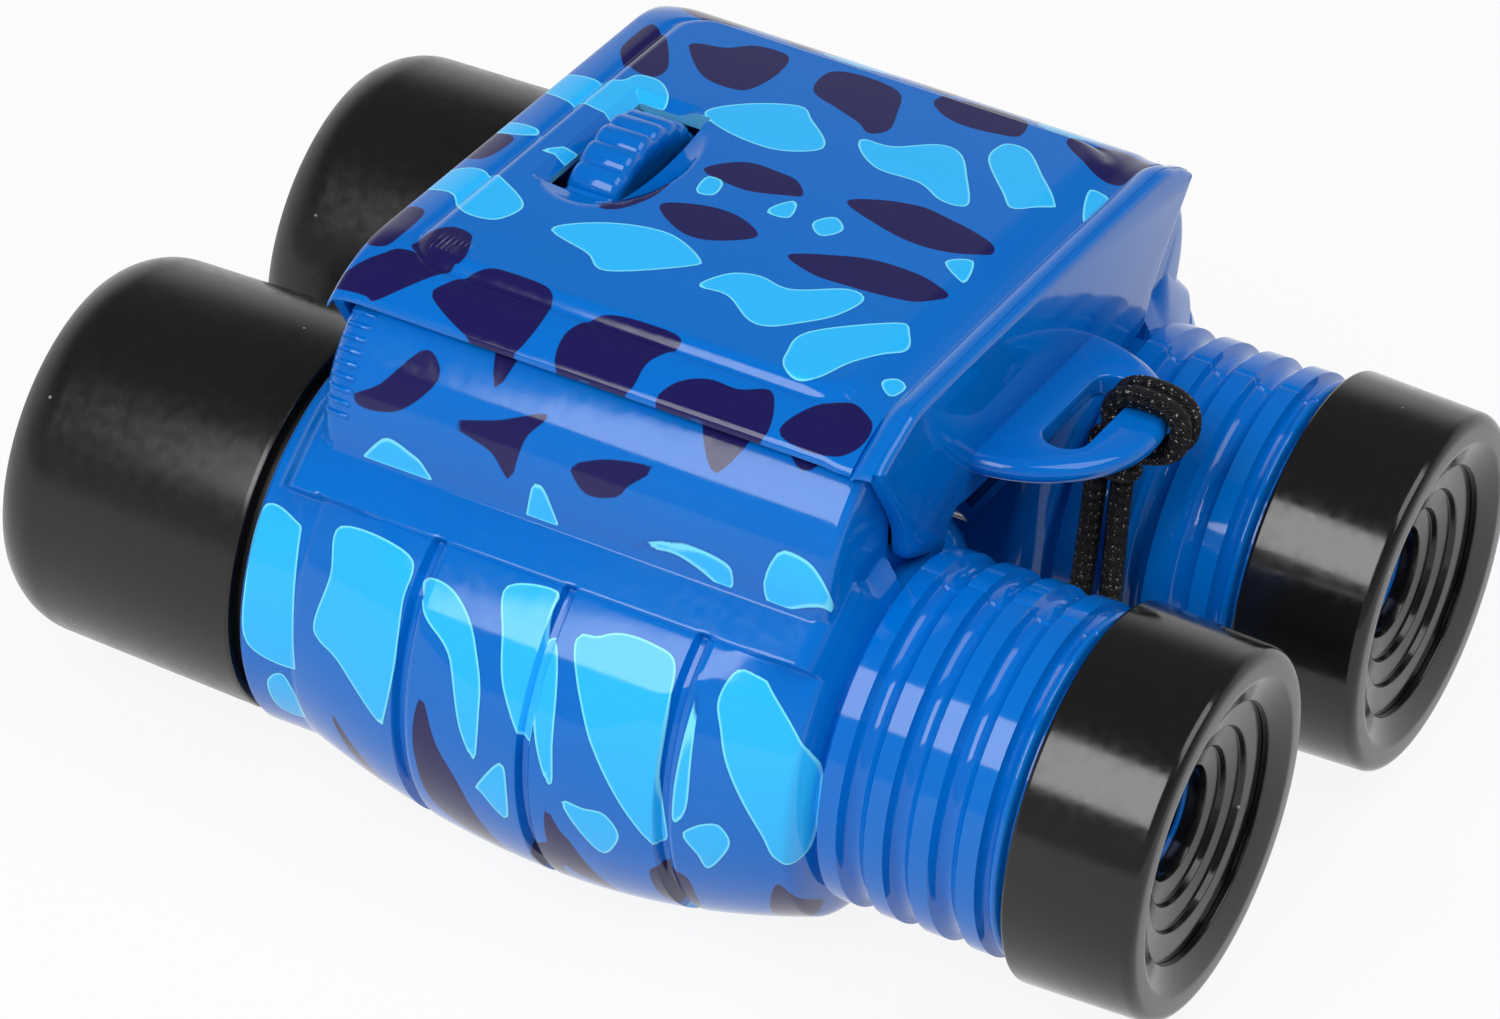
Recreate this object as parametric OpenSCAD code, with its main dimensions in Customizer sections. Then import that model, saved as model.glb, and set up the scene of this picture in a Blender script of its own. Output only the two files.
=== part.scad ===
// Toy binoculars with a folding bridge, centre focusing and a neck cord.
// X runs across, Y from the eyecups to the hoods, Z up. Millimetres.
// Local barrel frame: the barrel's axis is Y, the outer side is -X.

/* [Barrels] */
// Distance between the two barrel axes, folded together
barrel_spacing = 56; // [55:0.5:60]
// Outer radius of the plain barrel
barrel_r = 22.9; // [22.7:0.1:23.3]
// Wall of the barrel half-shells
shell_wall = 2.1; // [2:0.05:2.2]
// Rear end of the wide part of the barrel
barrel_rear_y = -32; // [-32.2:0.1:-31.8]
// Front end of the barrel
barrel_front_y = 36.2; // [36:0.1:37]
// Clearance of the focusing tube in the barrel
tube_clearance = 0.4; // [0.3:0.05:0.5]
// Wall of the focusing tube
tube_wall = 1.4; // [1.2:0.1:1.6]

/* [Belly pads] */
// How far the belly stands out from the plain barrel at its widest
belly_rise = 4.9; // [4.1:0.1:5.5]
// How much larger than the barrel the round pad form is
pad_rise = 0.6; // [0.3:0.1:0.9]
// Distance of the pad form's centre from the barrel axis
pad_offset = 5; // [4.6:0.1:5.4]
// Direction of the pad form's centre, in degrees from the inner side
pad_direction = 205; // [202:1:208]
// Y of the widest point of the belly
belly_y = -2.2; // [-4:0.1:0]
// Front end of the pads
pad_front_y = 29.3; // [28:0.1:29.8]
// Rear end of the pads
pad_rear_y = -31.6; // [-31.8:0.1:-31]
// Y of the middle groove between the pads
groove_y = -1.7; // [-3:0.1:0]
// Distance between the grooves
groove_pitch = 15.9; // [15:0.1:16.5]
// Width of the grooves
groove_w = 1.7; // [1.2:0.1:2.4]
// Depth of the grooves
groove_depth = 1.2; // [0.8:0.1:1.6]
// How far the smooth strip above the pads stands out from the barrel
strip_rise = 1.7; // [1.3:0.1:2]

/* [Neck] */
// Rear end of the neck, where the eyecup begins
neck_rear_y = -55.1; // [-56:0.1:-54.6]
// How much smaller than the barrel the neck's radius is
neck_step = 4.5; // [4.4:0.1:4.7]
// Height of the ribs of the neck
rib_rise = 1.5; // [1.2:0.1:1.9]
// Width of a rib
rib_w = 3.4; // [3:0.1:3.8]
// Distance between the ribs
rib_pitch = 5.4; // [5.2:0.1:5.5]

/* [Eyecups] */
// Rear end of the eyecup
eyecup_rear_y = -70.2; // [-71:0.1:-69.4]
// How much smaller than the barrel the eyecup's radius is at its rear end
eyecup_step = 2; // [1.7:0.1:2.2]
// How much wider the eyecup is where it meets the neck
eyecup_flare = 0.5; // [0.2:0.1:0.8]
// Rounding of the eyecup's rear edge
eyecup_fillet = 2.6; // [1.5:0.1:3]
// Width of the rounded rim round the mouth of the eyecup
rim_w = 4.6; // [4.3:0.1:5]
// How far the cone of the mouth closes in
mouth_cone = 2.5; // [2.1:0.1:2.8]
// Rounding of the rim's inner edge
rim_round = 1; // [0.7:0.1:1.2]
// How far the mouth's cone ends in front of the rim
mouth_depth = 2.8; // [2.4:0.1:3.2]
// Width of the stepped rings round the eye hole
rings_w = 7.3; // [7:0.1:7.6]
// Drop of each ring of the stepped holder
step_depth = 0.85; // [0.7:0.05:1]

/* [Hoods] */
// Rear end of the hood with the focus at rest
hood_rear_y = 37.7; // [37.5:0.1:38.4]
// Front end of the hood with the focus at rest
hood_front_y = 68.4; // [68:0.1:69]
// How much smaller than the barrel the hood's radius is at its rear end
hood_step = 0.5; // [0.3:0.1:0.6]
// How much the hood tapers up to its rounded nose
hood_taper = 0.6; // [0.4:0.1:0.8]
// Length of the hood's rounded nose
nose_l = 5.4; // [4.8:0.1:6]
// How far the nose closes in
nose_w = 2.3; // [2:0.1:2.6]
// How much smaller than the tube's seat the mouth of the hood is
hood_lip = 2.3; // [2:0.1:2.6]
// Front end of the focusing tube
tube_front_y = 62; // [61:0.1:63]

/* [Bridge] */
// How far the hinge axes lie below the tops of the barrels
hinge_sink = 0.2; // [0:0.1:0.3]
// Radius of the hinge drum of each barrel
drum_r = 15.3; // [15.2:0.1:15.5]
// Wall of the hinge drum
drum_wall = 1.6; // [1.4:0.1:1.8]
// Clearance between the drum and the cover
drum_clearance = 0.5; // [0.45:0.05:0.6]
// Wall of the cover over the drum
cover_wall = 1; // [0.9:0.1:1.1]
// Half width of the raised top panel
panel_x = 31.7; // [31:0.1:32]
// Height of the raised panel above the drum cover
panel_rise = 0.9; // [0.7:0.1:1.1]
// Crown of the raised panel at its middle
panel_crown = 0.4; // [0.2:0.1:0.6]
// Angle of the lip of the cover, seen from the hinge axis
lip_angle = 52; // [51:0.5:54]
// Rear end of the bridge
bridge_rear_y = -31.9; // [-32.2:0.1:-31.6]
// Front end of the bridge
bridge_front_y = 34.3; // [34:0.1:34.6]
// Thickness of the end plates
plate_t = 1.9; // [1.8:0.1:2]
// Width of the plain band at the rear of the cover
rear_band = 3.4; // [3:0.1:3.8]

/* [Lug] */
// Half width of the strap lug, and its outer radius
lug_r = 15.5; // [15:0.1:16]
// Thickness of the strap lug
lug_t = 2.7; // [2.4:0.1:3]
// Height of the lug's top above the hinge axes
lug_lift = 4.3; // [3.9:0.1:4.7]
// Half length of the slot in the lug
slot_half = 8.4; // [8:0.1:8.8]
// Width of the slot in the lug
slot_w = 5.1; // [4.8:0.1:5.4]
// Y of the middle of the slot in the lug
slot_y = -38.45; // [-38.8:0.05:-38.2]

/* [Focus] */
// Height of the focus spindle above the hinge axes
spindle_lift = 7.2; // [7:0.1:7.4]
// Radius of the focus wheel over its ridges
wheel_r = 13; // [12.6:0.1:13.1]
// Width of the focus wheel
wheel_w = 6.4; // [6:0.1:7]
// Y of the middle of the focus wheel
wheel_y = 19.1; // [18.9:0.1:19.3]
// Number of ridges on the focus wheel
ridge_count = 24; // [16:1:26]
// Radius of the plain ends of the spindle
spindle_r = 2; // [1.9:0.1:2.1]
// Radius of the threaded middle of the spindle
thread_r = 2.5; // [2.4:0.1:2.6]
// Y of the tab that the carriage grips on each focusing tube
tab_y = 6; // [5.8:0.1:6.2]
// Thickness of the tab
tab_t = 1.6; // [1.4:0.1:1.8]
// How far the focus moves forward
focus_forward = 3; // [2:0.1:3]
// How far the focus moves back
focus_back = 1; // [0.8:0.1:1]

/* [Small parts] */
// Radius of the hinge pins
pin_r = 1.25; // [1.2:0.05:1.3]
// Radius of the screw shanks
screw_r = 1.2; // [1.1:0.05:1.3]
// Radius of the screw heads
screw_head_r = 2.2; // [2.1:0.1:2.3]
// Running clearance of pins and shafts in their holes
running = 0.05; // [0.03:0.01:0.08]
// Seating clearance between fixed parts
seat = 0.1; // [0.05:0.05:0.15]
// Number of scale marks on each drum
tick_count = 10; // [8:1:11]

/* [Neck cord] */
// Diameter of the cord
cord_d = 2.6; // [2.5:0.05:2.7]
// Centre of the stored coil, across
coil_x = 75; // [74:0.5:78]
// Centre of the stored coil, along
coil_y = 26; // [20:1:30]
// Radius of the coil's outermost turn
coil_r = 19; // [18.6:0.1:19.4]
// Turns in each of the coil's two layers
coil_turns = 3; // [2:1:3]
// Gap between neighbouring turns
coil_gap = 0.5; // [0.45:0.05:0.6]
// Thickness of the tie on the coil
tie_t = 0.6; // [0.5:0.1:0.8]

/* [Hidden] */
$fn = 96;

BLUE = [0.0, 0.43, 0.79];
DEEP_BLUE = [0.0, 0.36, 0.7];
BLACK = [0.06, 0.06, 0.06];
STEEL = [0.72, 0.73, 0.75];
BRASS = [0.8, 0.62, 0.3];
GLASS = [0.6, 0.75, 0.9];

// Gap between the drums and the end plates
plate_gap = 0.2;
drum_rear_y = bridge_rear_y + plate_t + plate_gap;
drum_front_y = bridge_front_y - plate_t - plate_gap;

// Barrel sizes that follow
bore_r = barrel_r - shell_wall;
tube_r = bore_r - tube_clearance;
neck_r = barrel_r - neck_step;
rib_r = neck_r + rib_rise;
neck_bore_r = neck_r - 1.8;
belly_r = barrel_r + belly_rise;
pad_r = barrel_r + pad_rise;
strip_r = barrel_r + strip_rise;
hood_r = barrel_r - hood_step;
nose_r = hood_r - hood_taper;
eyecup_r = barrel_r - eyecup_step;
eyecup_front_r = eyecup_r + eyecup_flare;
mouth_r = eyecup_r - rim_w;
cup_r = mouth_r - mouth_cone;
eye_hole_r = cup_r - rings_w;
hinge_rise = barrel_r - hinge_sink;
step_y = drum_rear_y + shell_wall;
pad_x = pad_offset * cos(pad_direction);
pad_z = pad_offset * sin(pad_direction);
axis_h = pad_r - pad_z;
pad_top_angle = 140;
pad_end_angle = 267;
front_curve = 0.00478;
rear_curve = 0.00645;
belly_steps = 14;

// Drum and bridge sizes that follow
hinge_x = barrel_spacing / 2;
spindle_rise = hinge_rise + spindle_lift;
lug_top = hinge_rise + lug_lift;
cover_in_r = drum_r + drum_clearance;
cover_r = cover_in_r + cover_wall;
roof_in_z = hinge_rise + cover_in_r;
lip_x = hinge_x + cover_r * cos(lip_angle);
panel_z = hinge_rise + sqrt(pow(cover_r, 2) - pow(panel_x - hinge_x, 2)) + panel_rise;
boss_r = 3.6;
boss_l = 4;
drum_start = 105;
drum_end = 205;
pin_reach = plate_t - 0.5;
plate_chamfer = 0.8;

// Lobes of the rear plate and bosses of the front plate
lobe_x = hinge_x - 4.2;
lobe_r = 4.6;
lobe_z = hinge_rise + 0.4;
lobe_reach = 4.2 + lobe_r + 0.5;
front_boss_r = hinge_rise - tube_r - 0.3;

// Focus mechanism sizes that follow
fork_gap = 0.3;
fork_t = 1.8;
fork_y0 = tab_y - tab_t / 2 - fork_gap - fork_t;
fork_y1 = tab_y + tab_t / 2 + fork_gap + fork_t;
nut_y0 = tab_y - 4;
nut_y1 = tab_y + 4;
beam_z0 = barrel_r + 0.5;
rail_z0 = beam_z0 + 4.2;
rail_z1 = rail_z0 + 3.4;
rail_x = wheel_r + 0.7;
rail_w = 2.4;
shelf_w = 9;
shelf_l = 8.5;
hub_y0 = wheel_y - 5.2;
hub_y1 = wheel_y + 5.2;
bush_l = 5;
bush_t = 1;
bearing_r = spindle_r + bush_t + 1.6;

// Neck cord: points of its two free runs, chosen by hand
cord_r = cord_d / 2;
coil_pitch = cord_d + coil_gap;
coil_z = tie_t + seat + cord_r;
knot_h = 4.7;
knot_top = axis_h + lug_top - lug_t - cord_d;
knot_z = knot_top - knot_h;
rear_run = [
    [4, -41.5, knot_z], [4, -41.5, 0.915 * knot_z], [4.1, -41.6, 0.775 * knot_z],
    [4.4, -41.6, 0.61 * knot_z], [4.8, -41.5, 0.446 * knot_z], [5.6, -41.2, 0.293 * knot_z],
    [7.4, -40.8, 0.164 * knot_z], [10.6, -40.2, 3.2], [15, -39.4, 1.6], [20, -38.6, 1.4],
    [27, -37.2, 1.4], [34, -35, 1.4], [40.5, -31, 1.4], [45.5, -24.5, 1.4], [49, -16, 1.4],
    [51.8, -6, 1.4], [54, 4, 1.5], [55.5, 14, 1.8], [56, 20, 2], [56, 23.4, 2]];
front_run = [
    [4, -38.4, knot_z], [4, -38.4, 0.915 * knot_z], [3.8, -38.4, 0.775 * knot_z],
    [3.4, -38.3, 0.61 * knot_z], [3, -37.9, 0.446 * knot_z], [2.5, -36.8, 0.293 * knot_z],
    [1.9, -34.4, 0.164 * knot_z], [1.1, -30.6, 3.2], [0.4, -25.6, 1.6], [0, -20, 1.4],
    [0, -10, 1.4], [0, 0, 1.4], [0, 12, 1.4], [0.4, 24, 1.4], [2, 34.5, 1.4],
    [6.4, 43.4, 1.4], [13.6, 49, 1.4], [22, 51.6, 1.4], [31, 52.6, 1.4], [39.5, 52.2, 1.4],
    [47, 49.8, 1.6], [52.6, 44.8, 2.6], [55.4, 38, 4.3], [56, 32, 5.1], [56, 28.6, 5.1]];

// Helpers

// An (x, z) outline pushed along Y
module along(y0, y1) {
    translate([0, y1, 0]) rotate([90, 0, 0]) linear_extrude(y1 - y0) children();
}

// An (r, y) outline turned about the Y axis
module turned() {
    rotate([-90, 0, 0]) rotate_extrude() children();
}

module rod(r, y0, y1) {
    translate([0, y0, 0]) rotate([-90, 0, 0]) cylinder(r = r, h = y1 - y0);
}

// A rod along X, for screws and their bosses
module rod_x(r, x0, x1) {
    translate([x0, 0, 0]) rotate([0, 90, 0]) cylinder(r = r, h = x1 - x0, $fn = 32);
}

module sector(a0, a1, reach = 60) {
    polygon(concat([[0, 0]], [for (i = [0:8]) let(a = a0 + (a1 - a0) * i / 8) reach * [cos(a), sin(a)]]));
}

module half_space(side) {
    translate([side < 0 ? -80 : 0, -90, -60]) cube([80, 180, 120]);
}

// Places for the two barrels and for the bridge
module on_floor() { translate([0, 0, axis_h]) children(); }
module left() { translate([-barrel_spacing / 2, 0, axis_h]) children(); }
module right() { mirror([1, 0, 0]) left() children(); }
module at_hinge() { translate([0, 0, hinge_rise]) children(); }

// Radius of the belly about the barrel axis at a given Y
function belly_at(y) = belly_r - (y > belly_y ? front_curve : rear_curve) * pow(y - belly_y, 2);

// One layer of the belly: a round form outside the barrel axis, drawn in along Y
module pad_layer(inset, y0, y1) {
    intersection() {
        along(y0, y1) translate([pad_x, pad_z]) circle(r = pad_r - inset);
        turned() polygon(concat([[0, y0 - 1]],
            [for (i = [0:belly_steps])
                let(y = y0 + (y1 - y0) * i / belly_steps) [belly_at(y) - inset, y]],
            [[0, y1 + 1]]));
        along(y0, y1) sector(pad_top_angle, pad_end_angle);
    }
}

module belly_pads() {
    difference() {
        pad_layer(0, pad_rear_y, pad_front_y);
        for (i = [-1:1]) {
            y = groove_y + i * groove_pitch;
            rod(belly_r + 2, y - groove_w / 2, y + groove_w / 2);
        }
    }
    pad_layer(groove_depth, pad_rear_y + 0.2, pad_front_y - 0.2);
}

// Full round of the barrel and the neck with its ribs
module barrel_round() {
    rod(barrel_r, barrel_rear_y, barrel_front_y);
    rod(neck_r, neck_rear_y, barrel_rear_y + 0.1);
    for (i = [0:3]) {
        y = barrel_rear_y - 0.4 - i * rib_pitch;
        turned() polygon([[neck_r - 1, y], [rib_r - 0.3, y], [rib_r, y - 0.5],
            [rib_r, y - rib_w + 1], [rib_r - 0.5, y - rib_w + 0.2], [neck_r - 1, y - rib_w]]);
    }
    rod(rib_r - 0.4, neck_rear_y + 1.2, neck_rear_y + 2.4);
}

// Space inside the barrel: the sliding bore, the neck bore and the thinner belly
module barrel_cavity() {
    rod(bore_r, step_y, barrel_front_y + 1);
    rod(neck_bore_r, neck_rear_y - 1, step_y + 1);
    pad_layer(groove_depth + 2, pad_rear_y + 8, pad_front_y - 8);
}

module drum_pie(r) {
    at_hinge() along(drum_rear_y, drum_front_y) intersection() {
        circle(r = r);
        sector(drum_start, drum_end);
    }
}

module hinge_bosses(r) {
    at_hinge() {
        rod(r, drum_rear_y, drum_rear_y + drum_wall + boss_l);
        rod(r, drum_front_y - drum_wall - boss_l, drum_front_y);
    }
}

// Hollow of the drum, above the barrel wall
module drum_hollow() {
    difference() {
        at_hinge() rod(drum_r - drum_wall, drum_rear_y + drum_wall, drum_front_y - drum_wall);
        rod(barrel_r, barrel_rear_y, barrel_front_y);
        hinge_bosses(boss_r);
    }
}

// Pockets in the barrel for the lobes and bosses of the end plates
module plate_pockets() {
    difference() {
        at_hinge() rod(lobe_reach, bridge_rear_y - 0.3, drum_rear_y);
        rod(neck_r - 0.1, neck_rear_y, barrel_front_y);
    }
    at_hinge() rod(front_boss_r + 0.4, drum_front_y - 0.1, bridge_front_y + 0.2);
}

// Opening in the top of the barrel for the tab and the forks
module tab_window() {
    y0 = fork_y0 - focus_back - 0.6;
    y1 = fork_y1 + focus_forward + 0.6;
    translate([-4.4, y0, bore_r - 6]) cube([8.8, y1 - y0, 12]);
}

// Scale marks along the front edge of the drum
module scale_marks() {
    for (i = [0:tick_count - 1])
        at_hinge() rotate([0, -131 - i * 3.7, 0])
            translate([drum_r - 0.4, drum_front_y - 3.2 - (i % 5 == 0 ? 1 : 0), -0.3])
                cube([0.65, 2 + (i % 5 == 0 ? 1 : 0), 0.6]);
}

shell_screw_y = [-20, -4];
shell_screw_z = barrel_r - 6.1;
shell_boss_r = 2.7;

module at_shell_screws() {
    for (y = shell_screw_y) for (z = [-shell_screw_z, shell_screw_z]) translate([0, y, z]) children();
}

module outer_shell() {
    difference() {
        union() {
            difference() {
                union() {
                    intersection() { barrel_round(); half_space(-1); }
                    belly_pads();
                    along(pad_rear_y, barrel_front_y - 3) intersection() {
                        circle(r = strip_r);
                        sector(118, pad_top_angle + 1);
                    }
                    drum_pie(drum_r);
                    hinge_bosses(boss_r);
                    scale_marks();
                }
                drum_hollow();
                barrel_cavity();
                tab_window();
                plate_pockets();
            }
            intersection() {
                at_shell_screws() rod_x(shell_boss_r, 0.9 - barrel_r, 0);
                union() {
                    rod(bore_r + 0.5, step_y, barrel_front_y);
                    pad_layer(groove_depth + 1, pad_rear_y, pad_front_y);
                }
            }
        }
        at_hinge() rod(pin_r, drum_rear_y - 1, drum_front_y + 1);
        at_shell_screws() rod_x(screw_r - 0.1, -8, 1);
    }
}

module inner_shell() {
    difference() {
        union() {
            difference() {
                intersection() { barrel_round(); half_space(1); }
                barrel_cavity();
                tab_window();
                plate_pockets();
                hinge_bosses(boss_r + seat);
            }
            intersection() {
                at_shell_screws() rod_x(shell_boss_r, 0, bore_r - 6.8);
                rod(bore_r + 0.5, step_y, barrel_front_y);
            }
        }
        at_shell_screws() {
            rod_x(screw_r + seat, -1, 30);
            rod_x(screw_head_r + 0.2, 6, 30);
        }
    }
}

module shell_screws() {
    at_shell_screws() {
        rod_x(screw_r - 0.1, -7.5, 0.2);
        rod_x(screw_r, 0, 6.2);
        rod_x(screw_head_r, 6, 7.6);
    }
}

module hinge_pins() {
    at_hinge() {
        rod(pin_r, drum_rear_y - pin_reach, drum_rear_y + drum_wall + boss_l);
        rod(pin_r, drum_front_y - drum_wall - boss_l, drum_front_y + pin_reach);
    }
}

// Eyecup: a black sleeve whose spigot sits in the neck
cone_end_y = eyecup_rear_y + mouth_depth;
holder_y = cone_end_y + step_depth;
holder_flange_r = cup_r + 1.3;
spigot_l = 8;
ring_seat = 2.2;
module eyecup() {
    f = eyecup_fillet;
    r = eyecup_r;
    spigot_r = neck_bore_r - seat;
    turned() polygon(concat(
        [for (a = [90:-30:0]) [mouth_r + rim_round * (1 - sin(a)), eyecup_rear_y + rim_round * (1 - cos(a))]],
        [for (i = [0:6]) let(a = 90 * i / 6) [r - f + f * sin(a), eyecup_rear_y + f - f * cos(a)]],
        [[eyecup_front_r, neck_rear_y], [spigot_r, neck_rear_y], [spigot_r, neck_rear_y + spigot_l],
         [spigot_r - 1.5, neck_rear_y + spigot_l], [holder_flange_r + seat, neck_rear_y],
         [holder_flange_r + seat, holder_y + ring_seat], [cup_r, holder_y + ring_seat],
         [cup_r, cone_end_y]]));
}

// Holder with rings that step down to the eye hole
ring_count = 3;
ring_radii = [for (i = [0:ring_count]) cup_r - rings_w * i / ring_count - (i == 0 ? seat : 0)];
holder_l = 5.6;
holder_back_y = holder_y + holder_l;
lens_sleeve_l = 4;
lens_sleeve_t = 1.4;
eye_lens_depth = 3.5;
eye_lens_y = holder_y + eye_lens_depth;
lens_seat_r = eye_hole_r + 1.5;
module ocular_holder() {
    turned() polygon(concat(
        [for (i = [0:ring_count - 1]) each [[ring_radii[i], holder_y + i * step_depth],
            [ring_radii[i + 1], holder_y + i * step_depth]]],
        [[eye_hole_r, eye_lens_y], [lens_seat_r, eye_lens_y],
         [lens_seat_r, holder_back_y + lens_sleeve_l],
         [lens_seat_r + lens_sleeve_t, holder_back_y + lens_sleeve_l],
         [lens_seat_r + lens_sleeve_t, holder_back_y], [holder_flange_r, holder_back_y],
         [holder_flange_r, holder_y + ring_seat + seat], [ring_radii[0], holder_y + ring_seat + seat]]));
}

module lens(r, y, t, bulge) {
    turned() polygon(concat(
        [for (i = [0:6]) [r * i / 6, y - bulge * (1 - pow(i / 6, 2))]],
        [for (i = [6:-1:0]) [r * i / 6, y + t + bulge * (1 - pow(i / 6, 2))]]));
}

module eye_lens() {
    lens(lens_seat_r - 0.05, eye_lens_y + seat + 0.4, 1.6, 0.8);
}

module field_stop() {
    stop_r = bore_r - 11.8;
    stop_t = 1.4;
    turned() polygon([[stop_r, step_y + seat], [bore_r - seat, step_y + seat],
        [bore_r - seat, step_y + seat + stop_t], [stop_r, step_y + seat + stop_t]]);
}

// Focusing tube with the tab that the carriage grips
tube_tail = 4.4;
tube_rear_y = tab_y - tube_tail;
lens_y = tube_front_y - 5.6;
module focus_tube() {
    tube_in_r = tube_r - tube_wall;
    turned() polygon([[tube_in_r, tube_rear_y], [tube_r, tube_rear_y], [tube_r, tube_front_y],
        [tube_in_r, tube_front_y], [tube_in_r, lens_y], [tube_in_r - 1.6, lens_y],
        [tube_in_r - 1.6, lens_y - 1.6], [tube_in_r, lens_y - 1.6]]);
    along(tab_y - tab_t / 2, tab_y + tab_t / 2) {
        translate([-2.6, tube_r - 0.6]) square([5.2, hinge_rise - tube_r + 0.6]);
        translate([0, hinge_rise]) circle(r = 3, $fn = 48);
    }
}

module hood() {
    in_r = tube_r + seat;
    lip_r = in_r - hood_lip;
    lip_chamfer = 0.4;
    nose_end = 45;
    turned() polygon(concat(
        [[in_r, hood_rear_y], [hood_r, hood_rear_y]],
        [for (i = [0:6]) let(a = nose_end * i / 6)
            [nose_r - nose_w * (1 - cos(a)) / (1 - cos(nose_end)),
             hood_front_y - nose_l * (1 - sin(a) / sin(nose_end))]],
        [[lip_r + lip_chamfer, hood_front_y], [lip_r, hood_front_y - lip_chamfer],
         [lip_r, tube_front_y + seat], [in_r, tube_front_y + seat]]));
}

module objective_lens() {
    lens(tube_r - tube_wall - seat, lens_y + 1.4, 1.2, 1.2);
}

module lens_ring() {
    r = tube_r - tube_wall - 0.05;
    turned() polygon([[r - 2, tube_front_y - 1.8], [r, tube_front_y - 2.9], [r, tube_front_y - seat],
        [r - 1.4, tube_front_y - seat]]);
}

// Outline of the bridge seen along Y, drawn in by an inset
function bridge_arc(inset, a0, a1, steps, side) =
    [for (i = [0:steps]) let(a = a0 + (a1 - a0) * i / steps)
        [side * (hinge_x + (cover_r - inset) * cos(a)), hinge_rise + (cover_r - inset) * sin(a)]];

panel_angle = acos((panel_x - hinge_x) / cover_r);

function cover_outline(inset) = concat(
    bridge_arc(inset, lip_angle, panel_angle, 6, 1),
    [[panel_x - 0.4 - inset, panel_z - inset], [panel_x / 2, panel_z + panel_crown * 0.75 - inset],
     [0, panel_z + panel_crown - inset], [-panel_x / 2, panel_z + panel_crown * 0.75 - inset],
     [-panel_x + 0.4 + inset, panel_z - inset]],
    bridge_arc(inset, panel_angle, lip_angle, 6, -1));

function cover_inside() = concat(
    bridge_arc(cover_wall, lip_angle - 3, 90, 8, 1),
    bridge_arc(cover_wall, 90, lip_angle - 3, 8, -1),
    [[-lip_x - plate_t, hinge_rise - barrel_r / 2], [lip_x + plate_t, hinge_rise - barrel_r / 2]]);

// Outline of the cover closed below its lips, for what cover_inside() then hollows
function cover_block() = concat(cover_outline(0),
    [[-lip_x + cover_wall, hinge_rise], [lip_x - cover_wall, hinge_rise]]);

cover_rear_y = bridge_rear_y + rear_band;
cover_screw_x = rail_x + rail_w + 3;
rear_screw_inset = 4.4;
front_screw_inset = 4.6;
cover_screw_y = [bridge_rear_y + plate_t + rear_screw_inset, bridge_front_y - plate_t - front_screw_inset];

module at_cover_screws() {
    for (x = [-cover_screw_x, cover_screw_x]) for (y = cover_screw_y) translate([x, y, 0]) children();
}

// Window for the wheel, with a shallow scoop around it for the fingers
module wheel_slot() {
    slot_step = 2.4;
    slot_play = 2.5;
    slot_x = wheel_r - slot_step;
    slot_len = wheel_w + slot_play;
    translate([-slot_x, wheel_y - slot_len / 2, rail_z1]) cube([2 * slot_x, slot_len, wheel_r]);
    scoop_w = slot_x + 2.2;
    scoop_d = 0.9;
    scoop_rear = 3.2;
    scoop_front = 2;
    scoop_r = (pow(scoop_w, 2) + pow(scoop_d, 2)) / (2 * scoop_d);
    translate([0, 0, panel_z + panel_crown - scoop_d + scoop_r])
        rod(scoop_r, wheel_y - slot_len / 2 - scoop_rear, wheel_y + slot_len / 2 + scoop_front);
}

module top_cover() {
    post_r = screw_r + 1.7;
    color(BLUE) on_floor() difference() {
        union() {
            difference() {
                along(cover_rear_y, bridge_front_y) polygon(cover_block());
                along(cover_rear_y - 1, bridge_front_y + 1) polygon(cover_inside());
            }
            at_cover_screws() translate([0, 0, rail_z1 + 0.05])
                cylinder(r = post_r, h = roof_in_z - rail_z1 + 0.3, $fn = 32);
        }
        wheel_slot();
        at_cover_screws() translate([0, 0, rail_z1 - 1]) cylinder(r = screw_r - 0.1, h = 6, $fn = 32);
    }
}

// Rear end plate of the bridge, with a lobe below each hinge
module rear_plate(inset) {
    polygon(concat(cover_outline(inset),
        [[-lobe_x - lobe_r + 0.1, lobe_z], [-lobe_x + 5, lobe_z - 2], [lobe_x - 5, lobe_z - 2],
         [lobe_x + lobe_r - 0.1, lobe_z]]));
    for (x = [-lobe_x, lobe_x]) translate([x, lobe_z]) circle(r = lobe_r);
}

// Front end plate, inside the cover, with a small boss at each hinge
module front_plate() {
    edge_x = hinge_x + (cover_in_r - seat) * cos(lip_angle - 3);
    edge_z = hinge_rise + (cover_in_r - seat) * sin(lip_angle - 3);
    bottom_z = barrel_r + 0.6;
    intersection() {
        polygon(concat(bridge_arc(cover_wall + seat, lip_angle - 3, 90, 8, 1),
            bridge_arc(cover_wall + seat, 90, lip_angle - 3, 8, -1)));
        translate([-60, bottom_z]) square([120, 40]);
    }
    polygon([[-edge_x, edge_z], [-hinge_x - 0.4, bottom_z], [hinge_x + 0.4, bottom_z], [edge_x, edge_z]]);
    for (s = [-1, 1]) {
        translate([s * hinge_x, hinge_rise]) circle(r = front_boss_r, $fn = 48);
        translate([s * hinge_x - front_boss_r, hinge_rise])
            square([2 * front_boss_r, bottom_z - hinge_rise + 1]);
    }
}

base_screw_y = [bridge_rear_y + plate_t + 4, bridge_front_y - plate_t - 4];
base_z = barrel_r - 7.9;
base_t = 1.4;

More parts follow.
